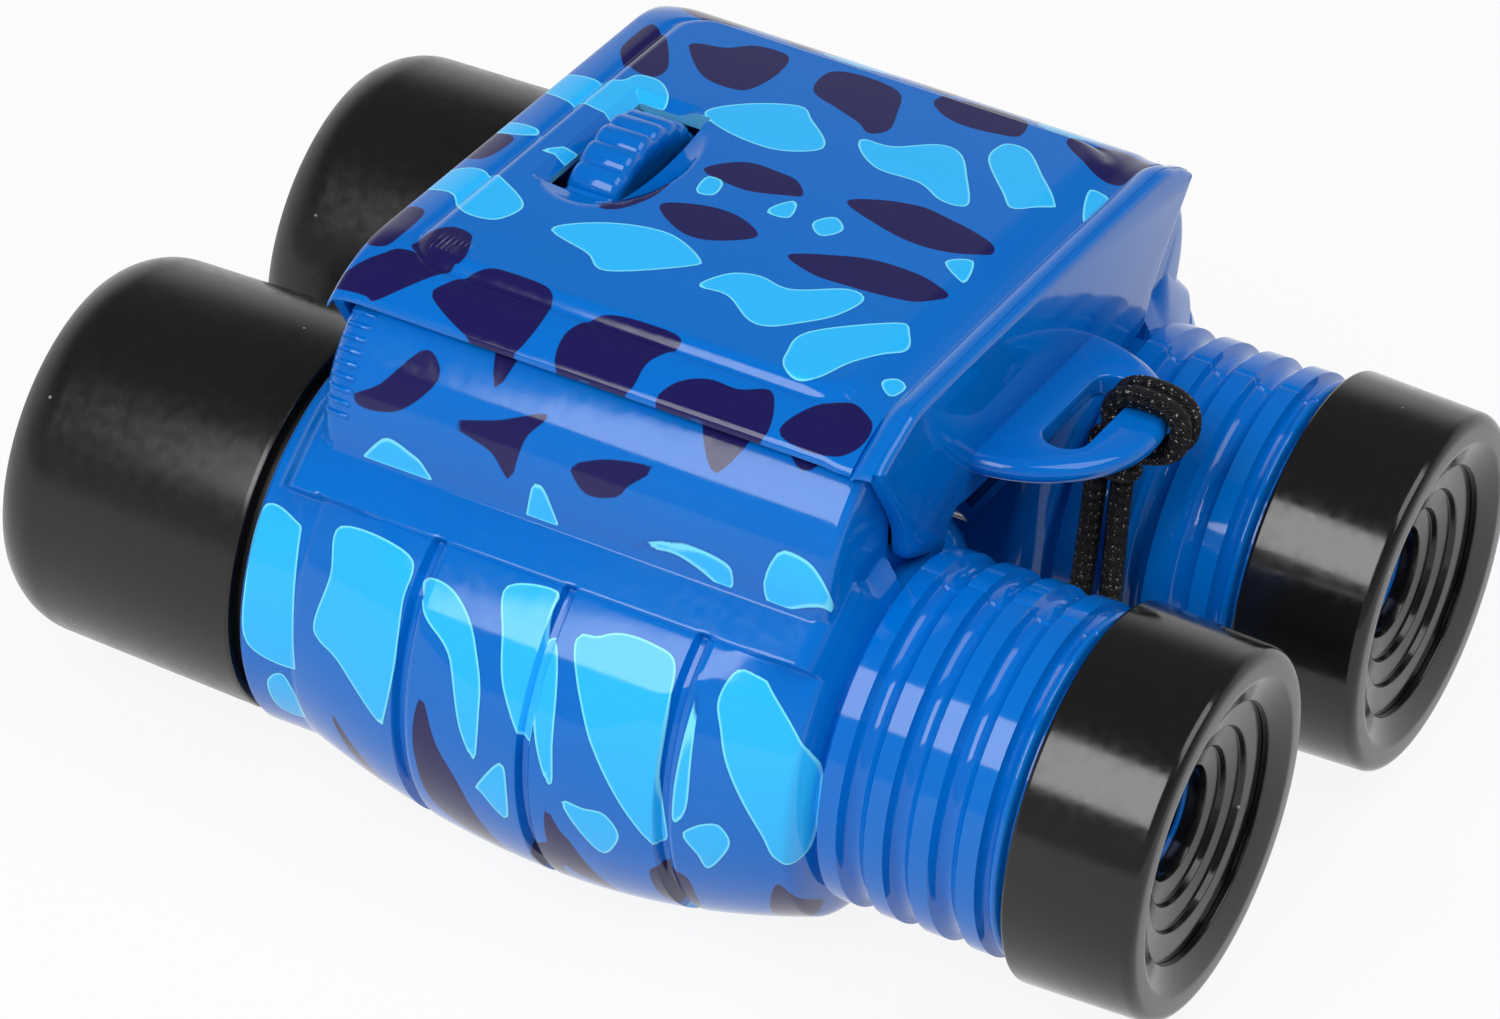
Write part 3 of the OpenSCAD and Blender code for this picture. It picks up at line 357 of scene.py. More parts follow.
def add(tree, kind, **inputs):
    """A shader node with its inputs set or linked; a name with a leading _ is a property."""
    node = tree.nodes.new(kind)
    for key in [key for key in inputs if key.startswith("_")]:
        setattr(node, key[1:], inputs.pop(key))
    set_inputs(tree, node, **inputs)
    return node


def noise(tree, scale, detail=2.0):
    place = add(tree, "ShaderNodeTexCoord").outputs["Object"]
    return add(tree, "ShaderNodeTexNoise", Vector=place, Scale=scale, Detail=detail).outputs["Fac"]


def remap(tree, value, low, high, to_low=0.0, to_high=1.0, kind="LINEAR"):
    node = add(tree, "ShaderNodeMapRange", _interpolation_type=kind, Value=value)
    set_inputs(tree, node, From__Min=low, From__Max=high, To__Min=to_low, To__Max=to_high)
    return node.outputs["Result"]


def mix(tree, factor, a, b):
    return add(tree, "ShaderNodeMix", _data_type="RGBA", in0=factor, in6=a, in7=b).outputs[2]


def calc(tree, operation, a, b=0.0):
    return add(tree, "ShaderNodeMath", _operation=operation, in0=a, in1=b).outputs["Value"]


def mesh_value(tree, name, output="Fac"):
    return add(tree, "ShaderNodeAttribute", _attribute_name=name).outputs[output]


def bump(tree, height, distance, strength):
    node = add(tree, "ShaderNodeBump", Height=height, Distance=distance, Strength=strength)
    return node.outputs["Normal"]


def specks(tree, scale, size):
    """Sparse dust specks: 1 on a speck."""
    place = add(tree, "ShaderNodeTexCoord").outputs["Object"]
    cells = add(tree, "ShaderNodeTexVoronoi", Vector=place, Scale=scale, Randomness=1.0)
    near = remap(tree, cells.outputs["Distance"], size * 0.6, size, 1.0, 0.0)
    pick = add(tree, "ShaderNodeSeparateColor", Color=cells.outputs["Color"]).outputs["Red"]
    return calc(tree, "MULTIPLY", near, remap(tree, pick, 0.7, 0.71))


def blue_plastic(name, patterned, low=colour(0, 104, 196), high=colour(0, 111, 204)):
    """Glossy moulded plastic, with the blotches read from the mesh's light and dark depths."""
    material, tree, bsdf = new_material(name)
    base = mix(tree, noise(tree, 30.0, 3.0), low, high)
    if patterned:
        light, dark = mesh_value(tree, "light"), mesh_value(tree, "dark")
        base = mix(tree, remap(tree, dark, -0.05, 0.05), base, NAVY)
        halo = remap(tree, light, -0.22, -0.02, 0.0, 0.35, "SMOOTHSTEP")
        base = mix(tree, halo, base, HALO_BLUE)
        rim = remap(tree, light, 0.12, 0.3, 1.0, 0.0, "SMOOTHSTEP")
        patch = mix(tree, rim, LIGHT_CYAN, RIM_CYAN)
        base = mix(tree, remap(tree, light, -0.04, 0.04), base, patch)
    scuffs = remap(tree, noise(tree, 900.0, 4.0), 0.35, 0.75, 0.06, 0.12)
    waves = bump(tree, noise(tree, 130.0), 0.00012, 0.2)
    set_inputs(tree, bsdf, Base__Color=base, Roughness=scuffs, IOR=1.5, Normal=waves)
    set_inputs(tree, bsdf, Specular__IOR__Level=0.36)
    return material


def black_plastic(name, rough, grain, level):
    """Satin black plastic of a grey level, with a fine moulded grain and a little dust."""
    material, tree, bsdf = new_material(name)
    low, high = (colour(*[grey] * 3) for grey in (level - 2, level + 3))
    shade = mix(tree, noise(tree, 40.0, 3.0), low, high)
    tone = mix(tree, specks(tree, 300.0, 0.07), shade, DUST_GREY)
    satin = remap(tree, noise(tree, 700.0, 3.0), 0.3, 0.7, rough - 0.04, rough + 0.05)
    grains = bump(tree, noise(tree, 4200.0), 0.00002, grain)
    set_inputs(tree, bsdf, Base__Color=tone, Roughness=satin, Normal=grains)
    return material


def metal(name, tone):
    material, tree, bsdf = new_material(name)
    shade = mix(tree, noise(tree, 500.0), tone, BRIGHT_METAL)
    rough = remap(tree, noise(tree, 1800.0, 4.0), 0.3, 0.7, 0.25, 0.4)
    set_inputs(tree, bsdf, Base__Color=shade, Roughness=rough, Metallic=1.0)
    return material


def lens_glass():
    """Clear glass with a thin blue coating."""
    material, tree, bsdf = new_material("coated_glass")
    tint = mix(tree, noise(tree, 60.0), colour(160, 200, 255), colour(190, 215, 255))
    set_inputs(tree, bsdf, Base__Color=tint, Roughness=0.02, IOR=1.5, Transmission__Weight=1.0)
    set_inputs(tree, bsdf, Coat__Weight=1.0, Coat__Tint=colour(90, 150, 255))
    return material


def braided_cord():
    """Black braid with pale flecks, darker in the hollows of the weave as painted shade; the braid attribute
    holds turns round and millimetres along.
    """
    material, tree, bsdf = new_material("braided_cord")
    parts = add(tree, "ShaderNodeSeparateXYZ", Vector=mesh_value(tree, "braid", "Vector"))
    around = calc(tree, "MULTIPLY", parts.outputs["X"], BRAID_STRANDS * math.pi)
    along = calc(tree, "MULTIPLY", parts.outputs["Y"], math.pi / BRAID_STEP)
    slant = calc(tree, "ADD", around, along)
    one = calc(tree, "SINE", slant)
    two = calc(tree, "SINE", calc(tree, "SUBTRACT", around, along))
    weave = calc(tree, "MULTIPLY", one, two)
    threads = calc(tree, "SINE", calc(tree, "MULTIPLY", slant, 5.0))
    height = calc(tree, "ADD", weave, calc(tree, "MULTIPLY", threads, 0.25))
    spots = remap(tree, noise(tree, 3400.0, 1.0), 0.62, 0.66)
    fleck = calc(tree, "MULTIPLY", spots, remap(tree, weave, 0.0, 0.3))
    # Painted shade: the braid's colour is darker in the low hollows of the weave
    body = mix(tree, remap(tree, weave, -1.0, 1.0), colour(2, 2, 3), colour(13, 13, 15))
    set_inputs(tree, bsdf, Base__Color=mix(tree, fleck, body, FLECK), Roughness=0.62)
    set_inputs(tree, bsdf, Specular__IOR__Level=0.3, Normal=bump(tree, height, 0.00022, 0.9))
    return material


# Finishes of the pieces made here, each as (slot, material), and materials of the nodes that stay
PRINTED = ("printed_plastic", blue_plastic("camo_plastic", True))
PLAIN_BLUE = ("blue_plastic", blue_plastic("plain_blue_plastic", False))
# Darker blue for the bridge base: painted shade, standing in for the shadow under the lug
SHADE_PAINTED_BLUE = blue_plastic("deep_blue_plastic", False, colour(0, 52, 120), colour(0, 60, 132))
HOOD_BLACK = ("satin_black", black_plastic("satin_black", 0.24, 0.1, 18))
CUP_BLACK = ("satin_black", black_plastic("cup_black", 0.15, 0.12, 18))
RING_BLACK = ("black_plastic", CUP_BLACK[1])
INNER_BLACK = black_plastic("inner_black", 0.45, 0.3, 12)
STEEL = metal("steel", colour(160, 163, 168))
BRASS = metal("brass", colour(200, 160, 90))
GLASS = lens_glass()
BRAID = ("cord", braided_cord())


# Blotches: outlines of the common camouflage pattern.
# On the cover they are (x, y); on a barrel (y, angle from the inner side in degrees).

COVER_LIGHT = [
    [(7.5, 34.3), (12, 34.3), (12, 27.5), (14.5, 26), (14.5, 23), (11, 20.5), (8, 23.5), (4.5, 23.5)],
    [(-3.5, 34.3), (-1, 34.3), (-1.5, 29.5), (-3.5, 30.5)],
    [(-6.5, 26.5), (-4.5, 25), (-3.5, 23.5), (-6, 23)],
    [(-18.5, 34.3), (-14.5, 34.3), (-12.5, 31), (-14.5, 26.5), (-17.5, 22.5), (-20.5, 22.5), (-22.5, 24),
     (-22.5, 27.5), (-19, 30.5)],
    [(-20.5, 17.5), (-17, 15), (-14.5, 10.5), (-14, 6), (-16.5, 1.5), (-18.5, 1.5), (-24.5, 8.5),
     (-22.5, 12)],
    [(-4.5, 8.5), (-1, 9), (-1, 7), (-4, 6.5)],
    [(11.5, 16), (16, 13), (19, 8), (17, 5.5), (13.5, 2), (11, 2), (8.5, 6), (9, 12)],
    [(14, -2), (16.5, -1), (17, -4.5), (20.5, -8.5), (20, -11.5), (15.5, -14.5), (11, -17), (9.5, -16.5),
     (9.5, -14), (11.5, -10.5), (11.5, -5.5)],
    [(20.5, -14.5), (24, -14), (25.5, -15), (25, -17.5), (21, -21), (17, -24.5), (16, -24.5), (12.5, -21.5),
     (15, -19)],
    [(19, -27), (23, -26), (22, -28.8), (16, -28.8)],
    [(-4, 0), (-2, 0), (0, -1.5), (-3.5, -2.5)],
    [(-3, -5), (-0.5, -6.5), (-2.5, -8.5), (-5, -7)],
    [(-2, -20.5), (0, -23), (-4.5, -24)],
    [(-21.5, -1), (-17.5, -2.5), (-16, -5.5), (-16.5, -9.5), (-13, -14.5), (-14, -17), (-18.5, -16),
     (-22, -13.5), (-24.5, -11), (-24.5, -8.5), (-21.5, -4.5)],
    [(-30.5, -16), (-28, -15), (-23, -15), (-16, -22), (-17, -24), (-19.5, -25), (-22.5, -23.5), (-26, -21.5),
     (-30.5, -20), (-31.5, -18)],
    [(-26.5, -25.5), (-24.5, -26.5), (-25.5, -28), (-28, -27.5)],
    [(34, 13), (37, 8), (36, 3), (33.5, 7)],
    [(34, -14), (37.5, -17), (36.5, -23), (33, -19)],
]
COVER_DARK = [
    [(19.5, 31), (24.5, 31.5), (27, 31), (25, 28.5), (21.5, 26), (17.5, 24), (15, 24.5), (15.5, 27.5)],
    [(23.5, 24.5), (25, 24), (26, 21), (28.5, 18.5), (28.5, 14.5), (24.5, 13.5), (20, 14), (18, 15.5),
     (18.5, 20)],
    [(23, 8.5), (28, 9), (29.5, 5.5), (28.5, 0.5), (24, -1.5), (20, -2.5), (18, -1), (19.5, 1), (21, 4.5)],
    [(29.5, -3.5), (34, -6), (34, -12.5), (28, -15), (26.5, -12.5), (26, -8.5), (27, -5.5)],
    [(30, -19.5), (33, -23), (33.5, -28.5), (26.5, -28.5), (25.5, -26.5), (26.5, -23.5)],
    [(0, 10), (2.5, 9), (4.5, 6.5), (4.5, 3), (4, 0.5), (1.5, -1.5), (0.5, 0), (-1, 3.5), (-1, 6.5)],
    [(-10.5, 9.5), (-8.5, 10), (-6.5, 6), (-6.5, 2), (-9, -1.5), (-12.5, 2), (-13, 5.5)],
    [(3, -6), (5.5, -8.5), (7, -13), (6.5, -16.5), (5.5, -20.5), (4, -23.5), (2, -23.5), (0, -20),
     (-0.5, -16), (0.5, -11.5)],
    [(-10.5, -6), (-7.5, -10.5), (-6, -14.5), (-6, -19.5), (-7, -22.5), (-8, -24), (-11, -22), (-12, -18.5),
     (-12.5, -14), (-12.5, -10)],
    [(-4.5, 31), (-4.5, 34.3), (-10, 34.3), (-10, 31.5)],
    [(-24, 31), (-24, 34.3), (-31, 34.3), (-31.5, 31)],
    [(-13.5, 15.5), (-11, 15.5), (-7.5, 12.8), (-4, 11.6), (-8.5, 11.8), (-12.5, 13.5)],
    [(-37.5, 34.3), (-35, 33), (-33, 31), (-31.5, 29), (-31.5, 23), (-34.5, 25), (-38, 28.5), (-38, 30)],
    [(-31, 28.5), (-28, 28), (-26, 26.5), (-26, 24.5), (-27, 23.5), (-31.5, 22.5)],
    [(-36, 23), (-34, 22.5), (-31.5, 20), (-30.5, 17), (-31.5, 11), (-38.5, 11.5), (-38.5, 17)],
    [(-38.5, 6.5), (-35.5, 7.5), (-33, 6.5), (-31.5, 4.5), (-31, 0), (-31.5, -4.5), (-35, -2.5), (-38.5, -2),
     (-38.5, 3)],
    [(-38.5, -5.5), (-36, -6.5), (-34.5, -9.5), (-34.5, -13), (-33.5, -16.5), (-38.5, -18), (-38.5, -10.5)],
    [(-37.5, -19.5), (-34.5, -20.5), (-32, -23), (-31.5, -25.5), (-33, -28), (-36, -28), (-38, -25)],
    [(38, 30), (34, 31), (32, 27), (35, 22), (38, 24)],
    [(38.5, 17), (35, 18), (33.5, 15), (36, 12.5), (38.5, 13)],
    [(38.5, 2), (35, 1), (34, -3), (38.5, -5)],
]
BARREL_DARK = [
    [(28.5, 119), (25.5, 116), (23.5, 112), (22, 109), (20.5, 109), (19, 112), (20.5, 116), (23, 119),
     (26.5, 120)],
    [(16.5, 118), (15.5, 117), (11, 115), (6.5, 112), (6, 113), (7.5, 116), (8, 120), (8.5, 123), (11, 120),
     (13.5, 119)],
    [(2, 118), (1, 117), (-2.5, 115), (-7.5, 114), (-6.5, 116), (-5, 118), (-4, 120), (-0.5, 121)],
    [(14.5, 103), (11.5, 103), (12.5, 111)],
    [(-10, 102), (-16.5, 102), (-14, 112)],
    [(-18, 100), (-26, 99), (-25, 104), (-23.5, 107), (-21.5, 106)],
    [(24, 199), (23, 200), (18.5, 222), (21, 222)],
    [(11, 177), (12, 184), (12, 196), (10.5, 214), (3, 228), (6, 200), (9, 188)],
    [(-4.5, 194), (-6, 200), (-7.5, 206), (-10, 228), (-4.5, 214)],
    [(-1.5, 212), (-4.5, 208), (-4, 228), (-0.5, 226)],
    [(-16, 206), (-20, 208), (-19, 230), (-16, 224)],
    [(-29.5, 206), (-31.5, 232), (-27, 232)],
    [(25, 236), (16, 240), (14, 252), (21, 256)],
    [(8, 250), (-2, 244), (-8, 252), (0, 260)],
]
BARREL_LIGHT = [
    [(26, 128), (24.5, 124), (23, 123), (20.5, 124), (19, 125), (18, 128)],
    [(6, 129), (6, 124), (5.5, 122), (4, 123), (2, 129)],
    [(-6.5, 126), (-9.5, 124), (-13, 123), (-18, 124), (-18, 128), (-14.5, 126), (-11, 125)],
    [(-22, 125), (-23, 120), (-24.5, 119), (-27.5, 120), (-30, 124), (-27, 126), (-23.5, 128)],
    [(35.8, 147), (31.5, 148), (30.5, 153), (29, 184), (29.5, 191), (35, 188), (35.8, 170)],
    [(33, 200), (30.5, 195), (29, 212), (32.5, 213)],
    [(26, 145), (16.5, 146), (15.5, 157), (15, 173), (16, 188), (17, 190), (22.5, 179), (25.5, 176),
     (26.5, 172), (25.5, 158)],
    [(14.5, 151), (13, 149), (10.5, 150), (8, 154), (6, 160), (4, 171), (4, 187), (6, 181), (8.5, 165),
     (12.5, 158)],
    [(5, 145), (-0.5, 142), (-1, 149), (-2.5, 178), (1.5, 168), (3.5, 156)],
    [(-1, 158), (-2.5, 153), (-4.5, 165), (-5.5, 185), (-4, 182)],
    [(-5, 155), (-7, 148.5), (-9.5, 146), (-13, 146), (-15.8, 148), (-16.8, 157), (-17, 176), (-17, 197)],
    [(-19, 170), (-19.5, 152), (-20.5, 180), (-19, 187)],
    [(0.5, 185), (0.5, 203), (3.5, 197), (4, 195)],
    [(-6.5, 190), (-9, 190), (-11.5, 190), (-13, 196), (-11, 204), (-9, 200)],
    [(-20, 191), (-21, 188), (-22.5, 186), (-24, 186), (-25, 192), (-22.5, 202), (-21.5, 197)],
    [(-21.5, 153), (-22.5, 145), (-25, 145), (-26, 146), (-32, 164), (-32, 196), (-29.5, 195), (-28, 186),
     (-24, 169), (-22.5, 160)],
    [(14, 226), (8, 232), (5, 242), (12, 240)],
    [(-12, 232), (-20, 236), (-22, 250), (-14, 246)],
]


def depth_in(outlines, u, v, scale=1.0):
    """Depth inside the nearest outline, in millimetres: above zero inside, below zero outside."""
    depth = np.full(u.shape, FAR)
    place = np.stack([u, v * scale], axis=-1)
    for outline in outlines:
        loop = curve_through(outline) * np.array([1.0, scale])
        low, high = loop.min(0) + FAR, loop.max(0) - FAR
        near = np.all((place > low) & (place < high), axis=-1)
        p = place[near]
        best = np.full(len(p), np.inf)
        inside = np.zeros(len(p), bool)
        for a, b in zip(loop, np.roll(loop, -1, axis=0)):
            edge = b - a
            t = np.clip((p - a) @ edge / max(edge @ edge, 1e-12), 0, 1)
            best = np.minimum(best, np.linalg.norm(p - a - t[:, None] * edge, axis=1))
            crosses = (a[1] > p[:, 1]) != (b[1] > p[:, 1])
            rise = edge[1] if abs(edge[1]) > 1e-12 else 1e-12
            inside ^= crosses & (p[:, 0] < a[0] + edge[0] * (p[:, 1] - a[1]) / rise)
        depth[near] = np.maximum(depth[near], np.where(inside, best, -best))
    return depth


# Barrel


def belly_radius(y):
    return BELLY_R - np.where(y > BELLY_Y, BELLY_FRONT_CURVE, BELLY_REAR_CURVE) * (y - BELLY_Y) ** 2


def round_radius(y):
    """Plain round body and the ribbed neck."""
    rise = np.sin(math.pi / 2 * np.clip((y - WIDE_REAR) / SHOULDER_L, 0, 1))
    body = np.where(y > WIDE_REAR + SHOULDER_L, BARREL_R, NECK_R + (BARREL_R - NECK_R) * rise)
    body = body - 0.5 * ease((y - BARREL_FRONT + 0.5) / 0.5)
    crest = np.zeros_like(y)
    for i in range(RIBS):
        beyond = (np.abs(y - FIRST_RIB + i * RIB_PITCH) - RIB_FLAT) / (RIB_PITCH / 2 - RIB_FLAT)
        crest = np.maximum(crest, 1 - np.sqrt(1 - (1 - np.clip(beyond, 0, 1)) ** 2))
    ring = np.minimum(np.abs(y - END_RING_Y) / END_RING_HALF, 1)
    crest = np.maximum(crest, END_RING_H * (1 - ring**2) ** 0.5)
    return np.maximum(body, NECK_R + (RIB_R - NECK_R) * crest)


def drum_radius(angle, y):
    """Distance from the barrel axis to the hinge drum, whose ends are rounded."""
    fillet = np.where(y > 0, DRUM_FILLET, DRUM_REAR_FILLET)
    inside = np.minimum(y - DRUM_REAR, DRUM_FRONT - y)
    short = np.clip(fillet - inside, 0, fillet)
    r = DRUM_R - fillet + np.sqrt(fillet**2 - short**2)
    under = r**2 - (HINGE_RISE * np.cos(angle)) ** 2
    reach = HINGE_RISE * np.sin(angle) + np.sqrt(np.maximum(under, 0))
    from_hinge = np.degrees(np.arctan2(reach * np.sin(angle) - HINGE_RISE, reach * np.cos(angle))) % 360
    open_side = ease((from_hinge - DRUM_OPEN) / 1.5)
    solid = (under > 0) & (np.sin(angle) > 0) & (inside >= 0)
    return np.where(solid, reach * open_side, 0)


def strip_radius(degrees):
    """Distance to the flat strip that joins the drum to the pads."""
    return STRIP_REACH / np.cos(np.radians(np.clip(degrees, 100, PAD_TOP + 2) - STRIP_FACING))


def pad_radius(angle, y):
    """Distance to the belly pads, with the grooves between them."""
    toward = PAD_OFFSET * np.cos(angle - PAD_DIRECTION)
    form = toward + np.sqrt(PAD_R**2 - PAD_OFFSET**2 + toward**2)
    notch = np.zeros_like(y)
    for groove in GROOVES:
        notch = np.maximum(notch, 1 - np.abs(y - groove) / (GROOVE_W / 2))
    return np.minimum(form, belly_radius(y)) - GROOVE_DEPTH * ease(notch * 1.7)


def barrel_radius(degrees, y):
    """Outer skin of a barrel: body, strip, pads, seam, drum and the room for the plate's lobe."""
    angle = np.radians(degrees)
    body = round_radius(y)
    wide = ease((y - WIDE_REAR) / 3.0) * ease((BARREL_FRONT - 1.0 - y) / 3.0)
    on_strip = ease((degrees - STRIP_START) / 8) * ease((PAD_TOP + 1 - degrees) / 1.2)
    strip = body + (strip_radius(degrees) - BARREL_R) * on_strip * wide
    on_pads = ease((degrees - PAD_TOP + 0.6) / 1.3) * ease((PAD_END + 0.6 - degrees) / 1.3)
    on_pads = on_pads * ease((y - WIDE_REAR) / 2.2) * ease((PAD_FRONT + 0.5 - y) / 0.8)
    skin = strip + (np.maximum(pad_radius(angle, y), body) - strip) * on_pads
    seam = np.exp(-(((degrees - 90) / SEAM_ANGLE) ** 2)) * SEAM_DEPTH
    skin = skin - np.where(y < WIDE_REAR - 0.6, seam, 0)
    drum = drum_radius(angle, y)
    beaded = (degrees > 115) & (degrees < PAD_TOP) & (np.abs(y - 1) < 29)
    bead = BEAD_H * np.exp(-(((drum - skin) / BEAD_W) ** 2)) * beaded
    skin = soft_max(skin, drum, 0.1) + bead
    lobe_zone = np.hypot(skin * np.cos(angle), skin * np.sin(angle) - HINGE_RISE) < LOBE_REACH
    lobe_zone &= skin * np.cos(angle) > LOBE_SIDE
    below_plate = lobe_zone & (y < DRUM_REAR) & (y > WIDE_REAR)
    return np.where(below_plate, NECK_R - 0.1, skin)


def barrel_body(side):
    """Both half-shells of a barrel as one skin, open along the bore."""
    fine_degrees = [(PAD_TOP, 2, 0.4), (127, 2.4, 0.2), (90, 2, 0.35), (97, 2, 0.4), (PAD_END, 2, 0.5)]
    degrees = lines(0, 359, 1.5, fine_degrees)
    fine = [(g, 1.3, 0.19) for g in GROOVES]
    fine += [(-43, 11.5, 0.22), (PAD_FRONT, 1, 0.2), (DRUM_FRONT - 1, 1.5, 0.22), (DRUM_REAR, 3.2, 0.25),
             (BARREL_FRONT - 0.4, 0.5, 0.12)]
    drum_ends = {DRUM_FRONT, DRUM_FRONT + 0.02, DRUM_REAR, DRUM_REAR - 0.02}
    y_lines = np.array(sorted({*lines(NECK_REAR, BARREL_FRONT, 0.65, fine), *drum_ends}))
    d, y = np.meshgrid(degrees, y_lines)
    step = DRUM_REAR + BORE_STEP
    bore = [(BARREL_FRONT, BORE_R), (step, BORE_R), (step, NECK_BORE_R), (NECK_REAR, NECK_BORE_R)]
    radii = np.vstack([barrel_radius(d, y)] + [np.full(len(degrees), r) for _, r in bore])
    ys = np.vstack([y] + [np.full(len(degrees), at) for at, _ in bore])
    points = turned(radii, ys, np.radians(degrees))
    faces = grid_faces(len(ys), len(degrees))
    shells = ["outer_shell", "inner_shell"]
    obj = barrel_piece(side, "barrel_body", points, faces, "barrel", PRINTED, shells)
    along = y if side < 0 else 4.0 - y
    on_drum = drum_radius(np.radians(d), y) - strip_radius(d)
    plain_strip = np.where(d < PAD_TOP - 0.5, on_drum * 2, -FAR)
    plain_front = BARREL_FRONT - 2 - y
    for name, outlines, limit in (("light", BARREL_LIGHT, -FAR), ("dark", BARREL_DARK, plain_front)):
        depth = np.minimum(np.minimum(depth_in(outlines, along, d, DEGREE), plain_strip), limit)
        float_attribute(obj.data, name, [*depth.ravel(), *[FAR] * (len(bore) * len(degrees))])
    centre, top = side * AXIS_X, AXIS_Z + BORE_R
    fork_way = (FORK_HALF, FORK_REAR, FORK_FRONT, -6, 6)
    stop_way = (STOP_HALF, DRUM_FRONT + 0.1, BRIDGE_FRONT + 0.3, -1, 3)
    for half, y0, y1, z0, z1 in (fork_way, stop_way):
        cut(obj, (centre - half, y0, top + z0), (centre + half, y1, top + z1))


def scale_marks(side):
    """Raised marks along the drum, on its front fillet."""
    profile = [(-MARK_HALF, -0.4), (-MARK_HALF, 0.1), (-MARK_HALF * 0.45, MARK_H)]
    profile += [(-across, lift) for across, lift in profile[::-1]]
    centre_r, centre_y = DRUM_R - DRUM_FILLET, DRUM_FRONT - DRUM_FILLET
    path = [(DRUM_R, centre_y - 1.5, 0.0), (DRUM_R, centre_y - 1.2, 0.0)]
    for bend in np.radians(np.linspace(0, MARK_BEND, 6)):
        r, y = centre_r + DRUM_FILLET * math.cos(bend), centre_y + DRUM_FILLET * math.sin(bend)
        path.append((r, y, bend))
    points, faces = [], []
    for i in range(MARKS):
        angle = math.radians(FIRST_MARK + MARK_PITCH * i)
        radial = np.array([math.cos(angle), math.sin(angle)])
        tangent = np.array([-math.sin(angle), math.cos(angle)])
        start = len(points)
        for k, (r, y, bend) in enumerate(path):
            share = 0.25 if k in (0, len(path) - 1) else 1.0
            for across, lift in profile:
                lift = lift * share if lift > 0 else lift
                flat = radial * (r + lift * math.cos(bend)) + tangent * across
                points.append((flat[0], y + lift * math.sin(bend), flat[1] + HINGE_RISE))
        faces += [tuple(start + v for v in f) for f in bar_faces(len(path), len(profile))]
    barrel_piece(side, "scale_marks", points, faces, "barrel", PLAIN_BLUE, sharp=50)


# Bridge


def rounded_box_depth(x, y, x_half, y0, y1, corner):
    """Depth inside a rounded rectangle."""
    qx = np.abs(x) - (x_half - corner)
    qy = np.abs(y - (y0 + y1) / 2) - ((y1 - y0) / 2 - corner)
    outside = np.hypot(np.maximum(qx, 0), np.maximum(qy, 0)) + np.minimum(np.maximum(qx, qy), 0)
    return corner - outside


def shoulder_rise(x):
    over = np.maximum(np.abs(x) - AXIS_X, 0)
    return HINGE_RISE + np.sqrt(COVER_R**2 - np.minimum(over, COVER_R) ** 2)


def panel_rise(x):
    return PANEL_RISE + PANEL_CROWN * (1 - (x / PANEL_X) ** 2)


def cover_rise(x, y):
    """Outer skin of the cover: shoulders, raised panel, finger scoop, window bevel and grip ribs."""
    shoulder = shoulder_rise(x)
    depth = rounded_box_depth(x, y, PANEL_X + 0.2, PANEL_REAR, PANEL_FRONT, PANEL_CORNER)
    soft = PANEL_SOFT + PANEL_SOFT_REAR * ease((PANEL_REAR + 6 - y) / 5)
    lift = ease(depth / soft + 0.3)
    skin = shoulder - PANEL_GROOVE * np.exp(-((depth + 0.5) ** 2) / 0.2) * (y > PANEL_REAR)
    skin = skin + (np.maximum(panel_rise(x), shoulder) - skin) * lift
    front = np.clip((y - PANEL_FRONT - 0.8) / (BRIDGE_FRONT - PANEL_FRONT - 0.8), 0, 1)
    edge = ease((y - BRIDGE_FRONT + FRONT_DROP) / FRONT_DROP)
    skin = skin - FRONT_DROP * front**2 - FRONT_DROP * edge**2
    skin = skin - REAR_DROP * ease((PANEL_REAR - y) / 2.0)
    scoop = 1 - ((x - SCOOP_X) / SCOOP_L) ** 2 - ((y - SCOOP_Y) / SCOOP_W) ** 2
    skin = skin - SCOOP_DEPTH * np.clip(scoop, 0, 1) ** 0.8 * ease((SLOT_FRONT + 0.3 - y) / 0.8)
    window = rounded_box_depth(x, y, SLOT_X + BEVEL_X, SLOT_REAR - 0.6, SLOT_FRONT + 1.3, 0.6)
    bevel = np.clip(window / BEVEL_X, 0, 1) * ease((y - WHEEL_Y + 3) / 3)
    skin = np.minimum(skin, np.where(bevel > 0, panel_rise(x) - BEVEL_DEPTH * bevel, skin))
    ribs = np.maximum(np.sin((y - 20) * 2 * math.pi / GRIP_PITCH), 0)
    across = ease((GRIP_HALF_X - np.abs(x - GRIP_X)) / 0.5)
    along = ease((GRIP_HALF_Y - np.abs(y - GRIP_Y)) / 0.4)
    return skin + GRIP_H * ribs * (across * along)


def shell_section(x_lines, y, rise):
    """Closed cross-section at one Y: the outer skin, a rounded lip each side, and the inner skin."""
    ys = np.full_like(x_lines, y)
    outer = np.stack([x_lines, ys, rise(x_lines, ys)], axis=1)
    inner_x = x_lines * (AXIS_X + (COVER_R - COVER_WALL) * math.cos(math.radians(LIP_ANGLE))) / LIP_X
    over = np.maximum(np.abs(inner_x) - AXIS_X, 0)
    inner_z = HINGE_RISE + np.sqrt((COVER_R - COVER_WALL) ** 2 - over**2)
    inner = np.stack([inner_x, ys, np.minimum(inner_z, outer[:, 2] - 0.45)], axis=1)
    nose, facing = [], math.radians(LIP_ANGLE - 90)
    for end, side in ((-1, 1), (0, -1)):
        a, b = outer[end], inner[end]
        out = np.array([math.cos(facing) * side, 0, math.sin(facing)]) * 0.55
        steps = [a + (b - a) * t + out * math.sin(math.pi * t) for t in (0.12, 0.3, 0.5, 0.7, 0.88)]
        nose.append(steps if side > 0 else steps[::-1])
    return np.vstack([outer, nose[0], inner[::-1], nose[1]])


